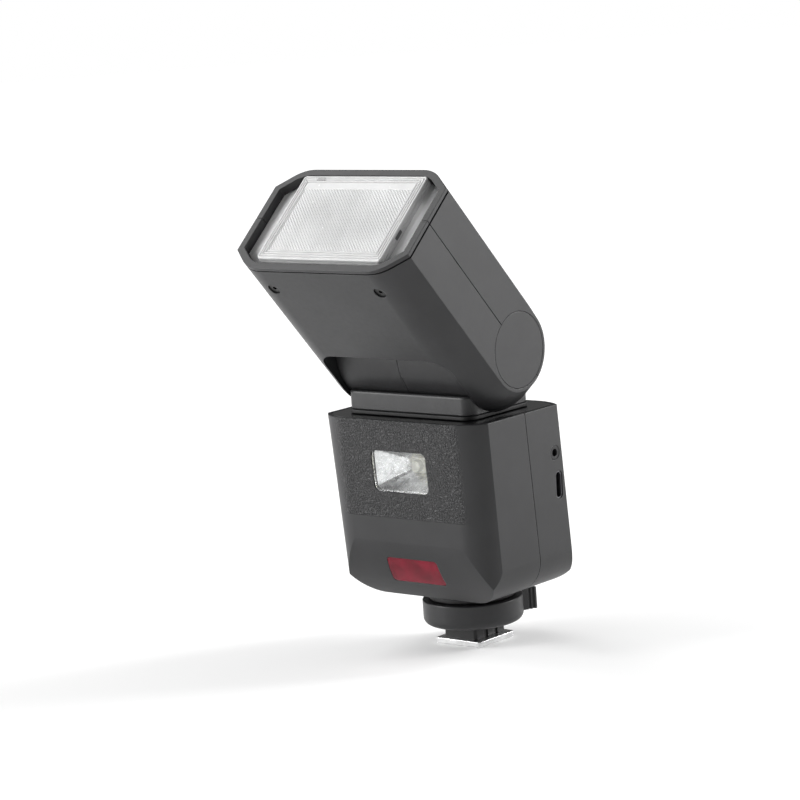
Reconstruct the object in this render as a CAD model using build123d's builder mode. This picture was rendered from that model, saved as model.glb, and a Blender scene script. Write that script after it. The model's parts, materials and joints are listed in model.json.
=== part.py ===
"""Speedlight flash: hot-shoe foot, battery body, swivelling neck and tilting zoom head.

Frame: millimetres, +Z up, origin at the centre of the foot plate's underside.
The front (modelling lamp, focus-assist window) faces -Y, the controls face +Y,
and the sockets are on the +X side. At rest the head is tilted up by TILT_REST.
"""
import os
from math import asin, atan, cos, degrees, radians, sin

from build123d import *

# ---------------------------------------------------------------- driving dimensions
# Hot-shoe foot, a standard size
FOOT_W, FOOT_D, FOOT_T = 18.6, 18.4, 1.9
FOOT_BLOCK = 13.2          # square plastic block above the plate
BLOCK_TOP = 6.3            # height of the block's top, under the lock ring
SPIGOT_R = 8.0             # round spigot that the lock ring turns on
INSERT_W, INSERT_D, INSERT_Y = 10.4, 8.8, 0.4      # plastic insert that carries the contacts
INSERT_RECESS = 0.15
CONTACTS = [(0, 0.4), (-3.4, 3.0), (3.4, 3.0), (-3.4, -2.2), (3.4, -2.2)]
CONTACT_R, CONTACT_L = 0.75, 2.5
FOOT_SCREW_PITCH, FOOT_SCREW_R, FOOT_SCREW_HEAD_R = 8.4, 0.9, 1.8
FOOT_SCREW_Z = 9.6         # lower end of the foot screws
COLLAR_R = 14.4

# Lock ring and its pin
RING_R = 16.5
RING_Z0, RING_Z1 = 6.6, 15.0
LEVER_ANGLE = 65           # degrees from +X towards +Y, at rest
LEVER_REACH, LEVER_W, LEVER_Z0 = 21.6, 9.0, 8.0
LEVER_ROOT = 12.0
PIN_R, PIN_Y = 1.0, -6.3
PIN_TRAVEL = 2.0
PIN_Z0, PIN_TOP = 0.25, 13.0
PEG_Z, PEG_R, PEG_L = 12.0, 0.8, 4.0
LOCK_TURN = 50             # degrees from open to locked

# Body
FLOOR_Z, DECK_Z = 18.7, 78.8
HALF_W = 33.1              # half width at the deck
SIDE_TAPER = 0.0256        # half width lost per millimetre down
FRONT_Y, FRONT_RAKE = -33.2, 0.062      # front plane at the deck, and its slope
FRONT_CREASE_Y, FRONT_CREASE_RAKE = -26.9, 0.081
REAR_CREASE_Y, REAR_RAKE = 8.7, 0.10
REAR_BULGE = 4.0           # the rear plane stands this far behind its crease
SEAM_Y = -8.2              # parting line at the deck, raked like the rear
FLAT_HALF_W = 22.0         # half width of the flat part of the front and rear
CHIN_Z, CHIN_R = 40.0, 31.0
BOTTOM_SIDE_R, BOTTOM_REAR_R = 13.0, 7.0
DECK_T = 1.9
WALL = 2.0
SEAM_GAP = 0.24
CROSSING = 0.03            # a profile stands this far outside the planes it blends into

# Front windows
LAMP_Z, LAMP_W, LAMP_H = 62.1, 22.4, 13.5
ASSIST_Z, ASSIST_TOP_W, ASSIST_BOTTOM_W, ASSIST_H = 28.5, 20.4, 22.0, 9.4

# Rear controls, each place as (x, height) on the rear face
DISPLAY_Z, DISPLAY_W, DISPLAY_H = 63.0, 41.0, 25.0
BUTTON_NAMES = ["mode_button", "wireless_button", "zoom_button", "menu_button"]
BUTTONS = [(15.6, 44.8), (5.2, 44.8), (-5.2, 44.8), (-15.6, 44.8)]
BUTTON_W, BUTTON_H = 8.4, 4.2
ROUND_BUTTON_NAMES = ["test_button", "lamp_button"]
ROUND_BUTTONS = [(15.6, 36.0), (-15.6, 36.0)]
ROUND_BUTTON_R = 3.0
BUTTON_TRAVEL = 0.6
DIAL_Z, DIAL_R, SET_R = 33.0, 8.4, 4.0
ENCODER_TOP = 4.8          # depth of the encoder's base below the rear face
BUTTON_SEAT, STEM_END, STEM_R = 2.2, 4.2, 1.2      # depths below the rear face
SWITCH_X, SWITCH_Z, SWITCH_W, SWITCH_H, SWITCH_TRAVEL = 15.6, 28.6, 4.6, 2.6, 2.6
SCREW_SEAT_Y, SCREW_HEAD_R = 8.2, 1.9

# Side sockets
JACK_Y, JACK_Z, JACK_R, JACK_BORE_R = 6.6, 63.4, 2.3, 1.25
USB_Y, USB_Z, USB_H, USB_T = 8.3, 52.6, 9.0, 3.2

# Neck
SWIVEL_Y = -10.6
NECK_W, NECK_D, NECK_CORNER_R = 51.6, 31.0, 4.0
NECK_Z0, NECK_Z1 = 79.1, 86.5
SPINDLE_R, SPINDLE_BORE_R = 9.0, 5.0
NECK_BASE_T = 1.1
BARREL_R, BARREL_WALL = 18.4, 1.6
BRACKET_X, BRACKET_Z = 22.0, 82.4      # outer face of each ear, underside of the bracket

# Head
HINGE_Y, HINGE_Z = -11.3, 99.7
TILT_REST = 48.5           # degrees above level
HEAD_HALF_W, HEAD_HALF_H, HEAD_LENGTH = 35.0, 20.6, 61.1
SIDE_FLAT_HALF_H = 13.3    # half height of the flat side face
TOP_FLAT_HALF_W = 26.5
HEAD_CORNER_R = 12.0
HEAD_WALL = 1.9
CHEEK_U = 26.1             # inner face of each cheek
BARREL_CLEAR_R = 18.8
BULKHEAD_R = 20.4
REAR_LIP_W = -2.0          # the top wall ends here, over the barrel
NOTCH_W, NOTCH_R = 18.3, 7.0
CAP_R, CAP_T = 12.1, 1.4
SHAFT_R, SHAFT_CLEAR = 5.0, 0.05
RIM_LIP, RIM_T, RIM_GROOVE = 2.4, 1.2, 0.6
LENS_W, LENS_H = 50.6, 32.4
LENS_SEAT_W = 58.1         # front face of the lens flange, along the head

HEAD_SCREWS = [(-21.7, 51.0), (21.7, 51.0)]      # across and along the underside

# Zoom carriage, all places in the head's own frame
ZOOM_TRAVEL = 12.0
MOUTH_W = 54.0
TUBE_W, TUBE_R = 38.5, 2.5
RODS = [(-27.0, -9.5), (27.0, -9.5)]
ROD_R = 1.0
SCREW_V, SCREW_R = 15.0, 1.2

SMALL_GAP = 0.1

# Inner parts of the body
BOARD_T = 1.4
BATTERY_W, BATTERY_D, BATTERY_H, BATTERY_Z = 46.0, 9.5, 38.0, 23.0
CAPACITOR_R, CAPACITOR_L = 8.3, 42.0
CAPACITOR_Y, CAPACITOR_Z = -20.2, 43.0
BEEPER_R, BEEPER_Z = 4.0, 57.5

# Swivel stack, as heights
SPINDLE_Z0 = 71.0
CLIP_Z, CLIP_T, CLIP_R = 73.05, 1.0, 12.5
CLIP_DEPTH = 0.8
WASHER_Z, WASHER_R = 74.1, 12.8

# Tilt hinge, all distances from the middle of the head
EAR_T, EAR_R = 1.5, 8.0
STUB_FLANGE, STUB_HEAD, STUB_BORE_R = 18.0, 28.7, 2.2
DETENT_R, DETENT_T, DETENT_COUNT = 9.0, 1.0, 12

# Carriage and motor, along and up through the head
CARRIAGE_W, CARRIAGE_H, CARRIAGE_T = 60.0, 24.8, 2.0
PLATE_AT = MOUTH_W - 19.9
ARM_V, ARM_W, ARM_T = 10.8, 6.0, 1.0
NUT_AT, NUT_T, NUT_TOP = MOUTH_W - 11.0, 3.0, 17.4
MOTOR_R, MOTOR_L = 3.3, 9.0

os.makedirs("parts", exist_ok=True)


# ---------------------------------------------------------------- shared frames
def drop(height):
    """Distance below the deck."""
    return DECK_Z - height


def front_plane_y(height):
    return FRONT_Y + FRONT_RAKE * drop(height)


def rear_plane_y(height):
    return REAR_CREASE_Y + REAR_BULGE + REAR_RAKE * drop(height)


def front_face(x, height):
    """Plane on the raked front face: local x to the right seen from the front, z outwards."""
    rake = atan(FRONT_RAKE)
    return Plane(origin=(x, front_plane_y(height), height), x_dir=(1, 0, 0),
                 z_dir=(0, -cos(rake), -sin(rake)))


def rear_face(x, height):
    """Plane on the raked rear face: local x to the right seen from behind, z outwards."""
    rake = atan(REAR_RAKE)
    return Plane(origin=(x, rear_plane_y(height), height), x_dir=(-1, 0, 0),
                 z_dir=(0, cos(rake), sin(rake)))


def side_face(y, height):
    """Plane on the +X side face: local x towards +Y, z outwards."""
    taper = atan(SIDE_TAPER)
    half = HALF_W - SIDE_TAPER * drop(height)
    return Plane(origin=(half, y, height), x_dir=(0, 1, 0), z_dir=(cos(taper), 0, -sin(taper)))


TILT = radians(TILT_REST)
HINGE = Vector(0, HINGE_Y, HINGE_Z)
HEAD_AXIS = Vector(0, -cos(TILT), sin(TILT))
# Head frame: local x is across the head, y is up through it, z is along it to the lens.
HEAD = Plane(origin=HINGE, x_dir=(1, 0, 0), z_dir=HEAD_AXIS)
# Side view of the head: local x is along the head, y is up through it, z is towards -X.
HEAD_SIDE = Plane(origin=HINGE, x_dir=HEAD_AXIS, z_dir=(-1, 0, 0))
SEAM = Plane(origin=(0, SEAM_Y, DECK_Z), x_dir=(1, 0, 0), z_dir=(0, 1, REAR_RAKE))


def save(builder, label):
    builder.part.label = label
    export_step(builder.part, f"parts/{label}.step")


# ---------------------------------------------------------------- foot and lock
def make_foot():
    with BuildPart() as foot_plate:
        with BuildSketch():
            RectangleRounded(FOOT_W, FOOT_D, 0.8)
            with Locations((0, INSERT_Y)):
                Rectangle(INSERT_W + 0.2, INSERT_D + 0.2, mode=Mode.SUBTRACT)
            with Locations((0, PIN_Y)):
                Circle(PIN_R + 0.1, mode=Mode.SUBTRACT)
        extrude(amount=FOOT_T)
        outer = foot_plate.faces().sort_by(Axis.Z)[0].outer_wire().edges()
        chamfer(outer, 0.3)
    save(foot_plate, "foot_plate")

    with BuildPart() as foot_block:
        with BuildSketch(Plane.XY.offset(INSERT_RECESS)):
            with Locations((0, INSERT_Y)):
                Rectangle(INSERT_W, INSERT_D)
        extrude(amount=FOOT_T - INSERT_RECESS)
        with BuildSketch(Plane.XY.offset(FOOT_T)):
            RectangleRounded(FOOT_BLOCK, FOOT_BLOCK + 2.4, 1.0)
        extrude(amount=BLOCK_TOP - FOOT_T)
        with BuildSketch(Plane.XY.offset(BLOCK_TOP)):
            Circle(SPIGOT_R)
        extrude(amount=RING_Z1 + 0.15 - BLOCK_TOP)
        with BuildSketch():
            with Locations((0, PIN_Y)):
                Circle(PIN_R + 0.1)
        extrude(amount=13.6, mode=Mode.SUBTRACT)
        with BuildSketch(Plane.XY.offset(8.6)):
            with Locations((0, PIN_Y - 1.5)):
                Rectangle(2.0, 3.0)
        extrude(amount=5.0, mode=Mode.SUBTRACT)
        with BuildSketch():
            with Locations(*CONTACTS):
                Circle(CONTACT_R + 0.05)
        extrude(amount=CONTACT_L + 0.1, mode=Mode.SUBTRACT)
        with BuildSketch(Plane.XY.offset(FOOT_SCREW_Z - 0.6)):
            with GridLocations(FOOT_SCREW_PITCH, FOOT_SCREW_PITCH, 2, 2):
                Circle(FOOT_SCREW_R + 0.05)
        extrude(amount=8.0, mode=Mode.SUBTRACT)
        # shallow ribs beside the shoe rails
        with BuildSketch(Plane.XY.offset(FOOT_T)):
            with GridLocations(FOOT_BLOCK, 5.0, 2, 2):
                Rectangle(1.0, 2.2)
        extrude(amount=2.6, mode=Mode.SUBTRACT)
    save(foot_block, "foot_block")

    with BuildPart() as foot_contacts:
        with BuildSketch():
            with Locations(*CONTACTS):
                Circle(CONTACT_R)
        extrude(amount=CONTACT_L)
    save(foot_contacts, "foot_contacts")

    with BuildPart() as foot_collar:
        with BuildSketch(Plane.XY.offset(RING_Z1 + 0.15)):
            Circle(COLLAR_R)
        extrude(amount=FLOOR_Z - RING_Z1 - 0.15)
        fillet(foot_collar.edges().group_by(Axis.Z)[0], 0.5)
        with BuildSketch(Plane.XY.offset(RING_Z1)):
            with GridLocations(FOOT_SCREW_PITCH, FOOT_SCREW_PITCH, 2, 2):
                Circle(FOOT_SCREW_R + 0.3)
        extrude(amount=5.0, mode=Mode.SUBTRACT)
    save(foot_collar, "foot_collar")

    with BuildPart() as foot_screws:
        head_z = FLOOR_Z + WALL + 0.05
        with BuildSketch(Plane.XY.offset(FOOT_SCREW_Z)):
            with GridLocations(FOOT_SCREW_PITCH, FOOT_SCREW_PITCH, 2, 2):
                Circle(FOOT_SCREW_R)
        extrude(amount=head_z - FOOT_SCREW_Z)
        with BuildSketch(Plane.XY.offset(head_z)):
            with GridLocations(FOOT_SCREW_PITCH, FOOT_SCREW_PITCH, 2, 2):
                Circle(FOOT_SCREW_HEAD_R)
                RegularPolygon(0.7, 6, mode=Mode.SUBTRACT)
        extrude(amount=1.2)
    save(foot_screws, "foot_screws")


def make_lock():
    with BuildPart() as lock_ring:
        with BuildSketch(Plane.XY.offset(RING_Z0)):
            Circle(RING_R)
        extrude(amount=RING_Z1 - RING_Z0)
        fillet(lock_ring.edges().group_by(Axis.Z)[0], 2.4)
        fillet(lock_ring.edges().group_by(Axis.Z)[-1], 0.5)
        # thumb lever, with two grip grooves
        with BuildSketch(Plane.XY.offset(LEVER_Z0)):
            with Locations(Location((0, 0, 0), (0, 0, LEVER_ANGLE))):
                with Locations(((LEVER_REACH + LEVER_ROOT) / 2, 0)):
                    Rectangle(LEVER_REACH - LEVER_ROOT, LEVER_W)
        extrude(amount=RING_Z1 - LEVER_Z0)
        lever_end = Vector(LEVER_REACH, 0, 11.5).rotate(Axis.Z, LEVER_ANGLE)
        tips = lock_ring.edges().filter_by(Axis.Z).sort_by_distance(lever_end)
        fillet(tips[:2], 0.9)
        with BuildSketch(Plane.XY.offset(7.0)):
            with Locations(Location((0, 0, 0), (0, 0, LEVER_ANGLE))):
                for reach in (LEVER_REACH - 3.0, LEVER_REACH - 1.6):
                    with Locations((reach, LEVER_W / 2), (reach, -LEVER_W / 2)):
                        Circle(0.45)
        extrude(amount=9.0, mode=Mode.SUBTRACT)
        with BuildSketch(Plane.XY.offset(RING_Z0)):
            Circle(SPIGOT_R + 0.06)
        extrude(amount=RING_Z1 - RING_Z0, mode=Mode.SUBTRACT)
        # pocket that the pin's peg travels in while the ring turns
        pocket_z = PEG_Z - PEG_R - PIN_TRAVEL - 0.8
        with BuildSketch(Plane.XY.offset(pocket_z)):
            with BuildLine():
                start = -90 - LOCK_TURN - 12
                sweep_angle = LOCK_TURN + 24
                outer = CenterArc((0, 0), 11.2, start, sweep_angle)
                inner = CenterArc((0, 0), SPIGOT_R - 0.6, start, sweep_angle)
                Line(outer @ 0, inner @ 0)
                Line(outer @ 1, inner @ 1)
            make_face()
        extrude(amount=2 * PEG_R + PIN_TRAVEL + 1.6, mode=Mode.SUBTRACT)
    save(lock_ring, "lock_ring")

    with BuildPart() as lock_pin:
        with BuildSketch(Plane.XY.offset(PIN_Z0)):
            with Locations((0, PIN_Y)):
                Circle(PIN_R)
        extrude(amount=PIN_TOP - PIN_Z0)
        chamfer(lock_pin.edges().group_by(Axis.Z)[0], 0.3)
        with BuildSketch(Plane.XZ.offset(-PIN_Y)):
            with Locations((0, PEG_Z)):
                Circle(PEG_R)
        extrude(amount=PEG_L)
    save(lock_pin, "lock_pin")


# ---------------------------------------------------------------- body form
def body_section(height, inset):
    """Plan outline of the body at a height, drawn inwards by inset."""
    half = HALF_W - SIDE_TAPER * drop(height)
    front = front_plane_y(height)
    front_crease = FRONT_CREASE_Y + FRONT_CREASE_RAKE * drop(height)
    rear = rear_plane_y(height)
    rear_crease = rear - REAR_BULGE
    with BuildSketch(Plane.XY.offset(height)) as section:
        with BuildLine():
            Line((0, front), (FLAT_HALF_W, front))
            TangentArc((FLAT_HALF_W, front), (half, front_crease), tangent=(1, 0))
            Line((half, front_crease), (half, rear_crease))
            TangentArc((FLAT_HALF_W, rear), (half, rear_crease), tangent=(1, 0))
            Line((FLAT_HALF_W, rear), (0, rear))
            mirror(about=Plane.YZ)
        make_face()
        if inset:
            offset(amount=-inset, kind=Kind.INTERSECTION)
    return section.sketch


def body_form(inset=0.0, top=DECK_Z):
    """The closed body shape, drawn inwards by inset."""
    floor = FLOOR_Z + inset
    slope = atan(FRONT_RAKE)
    chin_y = front_plane_y(CHIN_Z) + inset - CROSSING
    centre_z = CHIN_Z + (CHIN_R - inset) * sin(slope)
    chin_turn = degrees(asin((centre_z - floor) / (CHIN_R - inset)) - slope)
    with BuildPart() as form:
        loft([body_section(floor - 3, inset), body_section(top, inset)], ruled=True)
        with BuildSketch(Plane.YZ):
            with BuildLine():
                front_top = (front_plane_y(DECK_Z + 5) + inset - CROSSING, DECK_Z + 5)
                Line(front_top, (chin_y, CHIN_Z))
                chin = JernArc((chin_y, CHIN_Z), (FRONT_RAKE, -1), CHIN_R - inset, chin_turn)
                rear_low = rear_plane_y(floor) - inset + CROSSING
                rear_top = (rear_plane_y(DECK_Z + 5) - inset + CROSSING, DECK_Z + 5)
                FilletPolyline(chin @ 1, (rear_low, (chin @ 1).Y), rear_top,
                               radius=BOTTOM_REAR_R - inset)
                Line(rear_top, front_top)
            make_face()
        extrude(amount=HALF_W + 5, both=True, mode=Mode.INTERSECT)
        with BuildSketch(Plane.XZ):
            with BuildLine():
                top_half = HALF_W + SIDE_TAPER * 5 - inset + CROSSING
                low_half = HALF_W - SIDE_TAPER * drop(floor) - inset + CROSSING
                FilletPolyline((-top_half, DECK_Z + 5), (-low_half, floor), (low_half, floor),
                               (top_half, DECK_Z + 5), radius=BOTTOM_SIDE_R - inset)
                Line((top_half, DECK_Z + 5), (-top_half, DECK_Z + 5))
            make_face()
        extrude(amount=60, both=True, mode=Mode.INTERSECT)
    return form.part


OUTER_FORM = body_form()
CAVITY_FORM = body_form(inset=WALL, top=DECK_Z + 1)


def assist_prism(grow, depth):
    """Prism through the chin for the focus-assist window."""
    lean = radians(24)
    plane = Plane(origin=(0, front_plane_y(ASSIST_Z) + 1.6, ASSIST_Z), x_dir=(1, 0, 0),
                  z_dir=(0, -cos(lean), -sin(lean)))
    half_h = ASSIST_H / 2 + grow
    with BuildPart() as prism:
        with BuildSketch(plane):
            with BuildLine():
                Polyline((-ASSIST_TOP_W / 2 - grow, half_h), (ASSIST_TOP_W / 2 + grow, half_h),
                         (ASSIST_BOTTOM_W / 2 + grow, -half_h),
                         (-ASSIST_BOTTOM_W / 2 - grow, -half_h), close=True)
            make_face()
            fillet(vertices(), 1.2)
        extrude(amount=depth, both=True)
    return prism.part


SCREW_POSTS = [(-27.0, 30.0), (27.0, 30.0), (-27.0, 71.5), (27.0, 71.5)]
POST_R, POST_HOLE_R = 3.0, 0.95


def floor_holes():
    """Cutters for the foot screws' holes through the floor."""
    with BuildPart() as holes:
        with BuildSketch(Plane.XY.offset(FLOOR_Z)):
            with GridLocations(FOOT_SCREW_PITCH, FOOT_SCREW_PITCH, 2, 2):
                Circle(FOOT_SCREW_R + 0.2)
        extrude(amount=4, both=True)
    return holes.part


def screw_post_plane():
    """Plane across the body, local x along +X and y up, facing the rear."""
    return Plane(origin=(0, 0, 0), x_dir=(1, 0, 0), z_dir=(0, -1, 0))


def make_covers():
    with BuildPart() as posts:
        with BuildSketch(screw_post_plane()):
            with Locations(*SCREW_POSTS):
                Circle(POST_R)
        extrude(amount=60, both=True)
        add(CAVITY_FORM, mode=Mode.INTERSECT)

    with BuildPart() as front_cover:
        add(OUTER_FORM)
        add(CAVITY_FORM, mode=Mode.SUBTRACT)
        add(posts.part)
        with BuildSketch(screw_post_plane()):
            with Locations(*SCREW_POSTS):
                Circle(POST_HOLE_R)
        extrude(amount=24, both=True, mode=Mode.SUBTRACT)
        split(bisect_by=SEAM.offset(-SEAM_GAP / 2), keep=Keep.BOTTOM)
        extrude(body_section(DECK_Z - 2.0, 1.1), amount=4, mode=Mode.SUBTRACT)
        with BuildSketch(front_face(0, LAMP_Z)):
            RectangleRounded(LAMP_W, LAMP_H, 2.0)
        extrude(amount=-WALL * 2, both=True, mode=Mode.SUBTRACT)
        add(assist_prism(0.1, 6), mode=Mode.SUBTRACT)
        add(floor_holes(), mode=Mode.SUBTRACT)
    save(front_cover, "front_cover")

    with BuildPart() as rear_cover:
        add(OUTER_FORM)
        add(CAVITY_FORM, mode=Mode.SUBTRACT)
        add(posts.part)
        with BuildSketch(screw_post_plane()):
            with Locations(*SCREW_POSTS):
                Circle(POST_HOLE_R + 0.15)
        extrude(amount=60, both=True, mode=Mode.SUBTRACT)
        split(bisect_by=SEAM.offset(SEAM_GAP / 2), keep=Keep.TOP)
        add(floor_holes(), mode=Mode.SUBTRACT)
        extrude(body_section(DECK_Z - 2.0, 1.1), amount=4, mode=Mode.SUBTRACT)
        for x, height in SCREW_POSTS:
            with BuildSketch(screw_head_plane(x, height)):
                Circle(SCREW_HEAD_R + 0.25)
            extrude(amount=20, mode=Mode.SUBTRACT)
        with BuildSketch(rear_face(0, DISPLAY_Z)):
            RectangleRounded(DISPLAY_W, DISPLAY_H, 1.5)
            for x, height in BUTTONS:
                with Locations((-x, height - DISPLAY_Z)):
                    RectangleRounded(BUTTON_W + 0.4, BUTTON_H + 0.4, 1.2)
            for x, height in ROUND_BUTTONS:
                with Locations((-x, height - DISPLAY_Z)):
                    Circle(ROUND_BUTTON_R + 0.2)
            with Locations((0, DIAL_Z - DISPLAY_Z)):
                Circle(DIAL_R + 0.25)
            with Locations((-SWITCH_X, SWITCH_Z - DISPLAY_Z)):
                SlotOverall(SWITCH_W + SWITCH_TRAVEL + 0.6, SWITCH_H + 0.4)
        extrude(amount=-WALL * 2, both=True, mode=Mode.SUBTRACT)
        with BuildSketch(side_face(JACK_Y, JACK_Z)):
            Circle(JACK_R + 0.1)
            with Locations((USB_Y - JACK_Y, USB_Z - JACK_Z)):
                SlotOverall(USB_H + 0.2, USB_T + 0.2, rotation=90)
        extrude(amount=-WALL * 2, both=True, mode=Mode.SUBTRACT)
    save(rear_cover, "rear_cover")

    with BuildPart() as cover_screws:
        for x, height in SCREW_POSTS:
            with BuildSketch(screw_head_plane(x, height)):
                Circle(SCREW_HEAD_R)
                RegularPolygon(0.8, 6, mode=Mode.SUBTRACT)
            extrude(amount=1.6)
            with BuildSketch(screw_head_plane(x, height)):
                Circle(SCREW_HEAD_R)
            extrude(amount=0.6)
            with BuildSketch(screw_head_plane(x, height)):
                Circle(POST_HOLE_R - 0.05)
            extrude(amount=-16)
    save(cover_screws, "cover_screws")


def screw_head_plane(x, height):
    """Seat of a cover screw's head, facing the rear."""
    return Plane(origin=(x, SCREW_SEAT_Y, height), x_dir=(-1, 0, 0), z_dir=(0, 1, 0))


def make_deck():
    with BuildPart() as top_cover:
        extrude(body_section(DECK_Z - DECK_T, 1.2), amount=DECK_T)
        fillet(top_cover.edges().group_by(Axis.Z)[-1], 0.3)
        with BuildSketch(Plane.XY.offset(DECK_Z - DECK_T)):
            with Locations((0, SWIVEL_Y)):
                Circle(SPINDLE_R + SHAFT_CLEAR)
        extrude(amount=4, mode=Mode.SUBTRACT)
    save(top_cover, "top_cover")


def make_front_windows():
    with BuildPart() as lamp_window:
        with BuildSketch(front_face(0, LAMP_Z).offset(-1.4)):
            RectangleRounded(LAMP_W - 0.2, LAMP_H - 0.2, 1.9)
        extrude(amount=1.2)
    save(lamp_window, "lamp_window")

    with BuildPart() as lamp_reflector:
        mouth = front_face(0, LAMP_Z).offset(-2.4)
        throat = front_face(0, LAMP_Z).offset(-11.0)
        for inset in (0.0, 0.8):
            with BuildSketch(mouth):
                RectangleRounded(LAMP_W + 2 - 2 * inset, LAMP_H + 2 - 2 * inset, 2.2)
            with BuildSketch(throat):
                RectangleRounded(9.0 - 2 * inset, 7.0 - 2 * inset, 1.2)
            loft(mode=Mode.SUBTRACT if inset else Mode.ADD)
    save(lamp_reflector, "lamp_reflector")

    with BuildPart() as lamp_emitter:
        with BuildSketch(front_face(0, LAMP_Z).offset(-13.0)):
            RectangleRounded(16, 13, 1)
        extrude(amount=1.8)
        with BuildSketch(front_face(0, LAMP_Z).offset(-11.2)):
            Rectangle(5, 5)
        extrude(amount=1.0)
        with BuildSketch(front_face(0, LAMP_Z).offset(-10.2)):
            Circle(2.2)
        extrude(amount=1.6, taper=20)
    save(lamp_emitter, "lamp_emitter")

    with BuildPart() as assist_window:
        add(body_form(inset=0.08))
        add(body_form(inset=1.5), mode=Mode.SUBTRACT)
        add(assist_prism(0.0, 5), mode=Mode.INTERSECT)
    save(assist_window, "assist_window")

    with BuildPart() as assist_emitter:
        base = Plane(origin=(0, -18.5, 26.5), x_dir=(1, 0, 0), z_dir=(0, -1, 0))
        with BuildSketch(base):
            RectangleRounded(17, 7, 1)
        extrude(amount=1.6)
        with BuildSketch(base.offset(1.6)):
            with GridLocations(9, 0, 2, 1):
                Circle(2.4)
        extrude(amount=3.0)
        fillet(assist_emitter.edges().sort_by(Axis.Y)[:2], 1.6)
    save(assist_emitter, "assist_emitter")


def make_electronics():
    board = rear_face(0, DISPLAY_Z - 14)
    with BuildPart() as display_window:
        with BuildSketch(rear_face(0, DISPLAY_Z).offset(-1.3)):
            RectangleRounded(DISPLAY_W - 0.2, DISPLAY_H - 0.2, 1.4)
        extrude(amount=1.2)
    save(display_window, "display_window")

    with BuildPart() as display_panel:
        with BuildSketch(rear_face(0, DISPLAY_Z).offset(-3.6)):
            Rectangle(DISPLAY_W - 2, DISPLAY_H - 2)
        extrude(amount=2.2)
    save(display_panel, "display_panel")

    with BuildPart() as control_board:
        with BuildSketch(board.offset(-7.4)):
            RectangleRounded(43, 46, 1)
            with Locations(*[(-x, z - DISPLAY_Z + 14) for x, z in SCREW_POSTS]):
                Circle(POST_R + 0.5, mode=Mode.SUBTRACT)
        extrude(amount=1.4)
        with BuildSketch(board.offset(-6.0)):
            with Locations((-8, 4), (10, 6)):
                Rectangle(9, 9)
            with Locations(*[(-x, z - DISPLAY_Z + 14) for x, z in BUTTONS + ROUND_BUTTONS]):
                Rectangle(3.4, 3.4)
        extrude(amount=0.9)
    save(control_board, "control_board")

    with BuildPart() as battery_pack:
        with BuildSketch(Plane.XY.offset(BATTERY_Z)):
            with Locations((0, -1.0)):
                RectangleRounded(BATTERY_W, BATTERY_D, 2.0)
        extrude(amount=BATTERY_H)
        fillet(battery_pack.edges().group_by(Axis.Z)[0], 1.0)
        fillet(battery_pack.edges().group_by(Axis.Z)[-1], 1.0)
    save(battery_pack, "battery_pack")

    with BuildPart() as power_board:
        with BuildSketch(Plane.XZ.offset(8.2)):
            with Locations((0, CAPACITOR_Z)):
                RectangleRounded(BATTERY_W, 42, 1)
        extrude(amount=BOARD_T)
        with BuildSketch(Plane.XZ.offset(9.6)):
            with Locations((-16, 29), (14, 30)):
                Rectangle(9, 7)
        extrude(amount=3.0)
    save(power_board, "power_board")

    with BuildPart() as main_capacitor:
        with BuildSketch(Plane.YZ.offset(-CAPACITOR_L / 2)):
            with Locations((CAPACITOR_Y, CAPACITOR_Z)):
                Circle(CAPACITOR_R)
        extrude(amount=CAPACITOR_L)
        fillet(main_capacitor.edges(), 0.8)
        with BuildSketch(Plane.YZ.offset(CAPACITOR_L / 2)):
            with Locations((CAPACITOR_Y - 3, CAPACITOR_Z), (CAPACITOR_Y + 3, CAPACITOR_Z)):
                Circle(0.5)
        extrude(amount=3)
    save(main_capacitor, "main_capacitor")

    with BuildPart() as sync_jack:
        socket = side_face(JACK_Y, JACK_Z)
        with BuildSketch(socket.offset(-6.5)):
            Rectangle(5.0, 5.0)
        extrude(amount=4.2)
        with BuildSketch(socket.offset(-2.3)):
            Circle(JACK_R)
        extrude(amount=2.2)
        with BuildSketch(socket.offset(-6.0)):
            Circle(JACK_BORE_R)
        extrude(amount=8, mode=Mode.SUBTRACT)
    save(sync_jack, "sync_jack")

    with BuildPart() as usb_port:
        socket = side_face(USB_Y, USB_Z)
        with BuildSketch(socket.offset(-7.5)):
            SlotOverall(USB_H, USB_T, rotation=90)
        extrude(amount=7.2)
        with BuildSketch(socket.offset(-6.6)):
            SlotOverall(USB_H - 0.7, USB_T - 0.7, rotation=90)
        extrude(amount=7, mode=Mode.SUBTRACT)
        with BuildSketch(socket.offset(-6.6)):
            Rectangle(0.7, 6.6)
        extrude(amount=5.0)
    save(usb_port, "usb_port")

    with BuildPart() as beeper:
        with BuildSketch(Plane.XZ.offset(9.7)):
            with Locations((0, BEEPER_Z)):
                Circle(BEEPER_R)
                Circle(0.8, mode=Mode.SUBTRACT)
        extrude(amount=2.6)
    save(beeper, "beeper")


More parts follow.
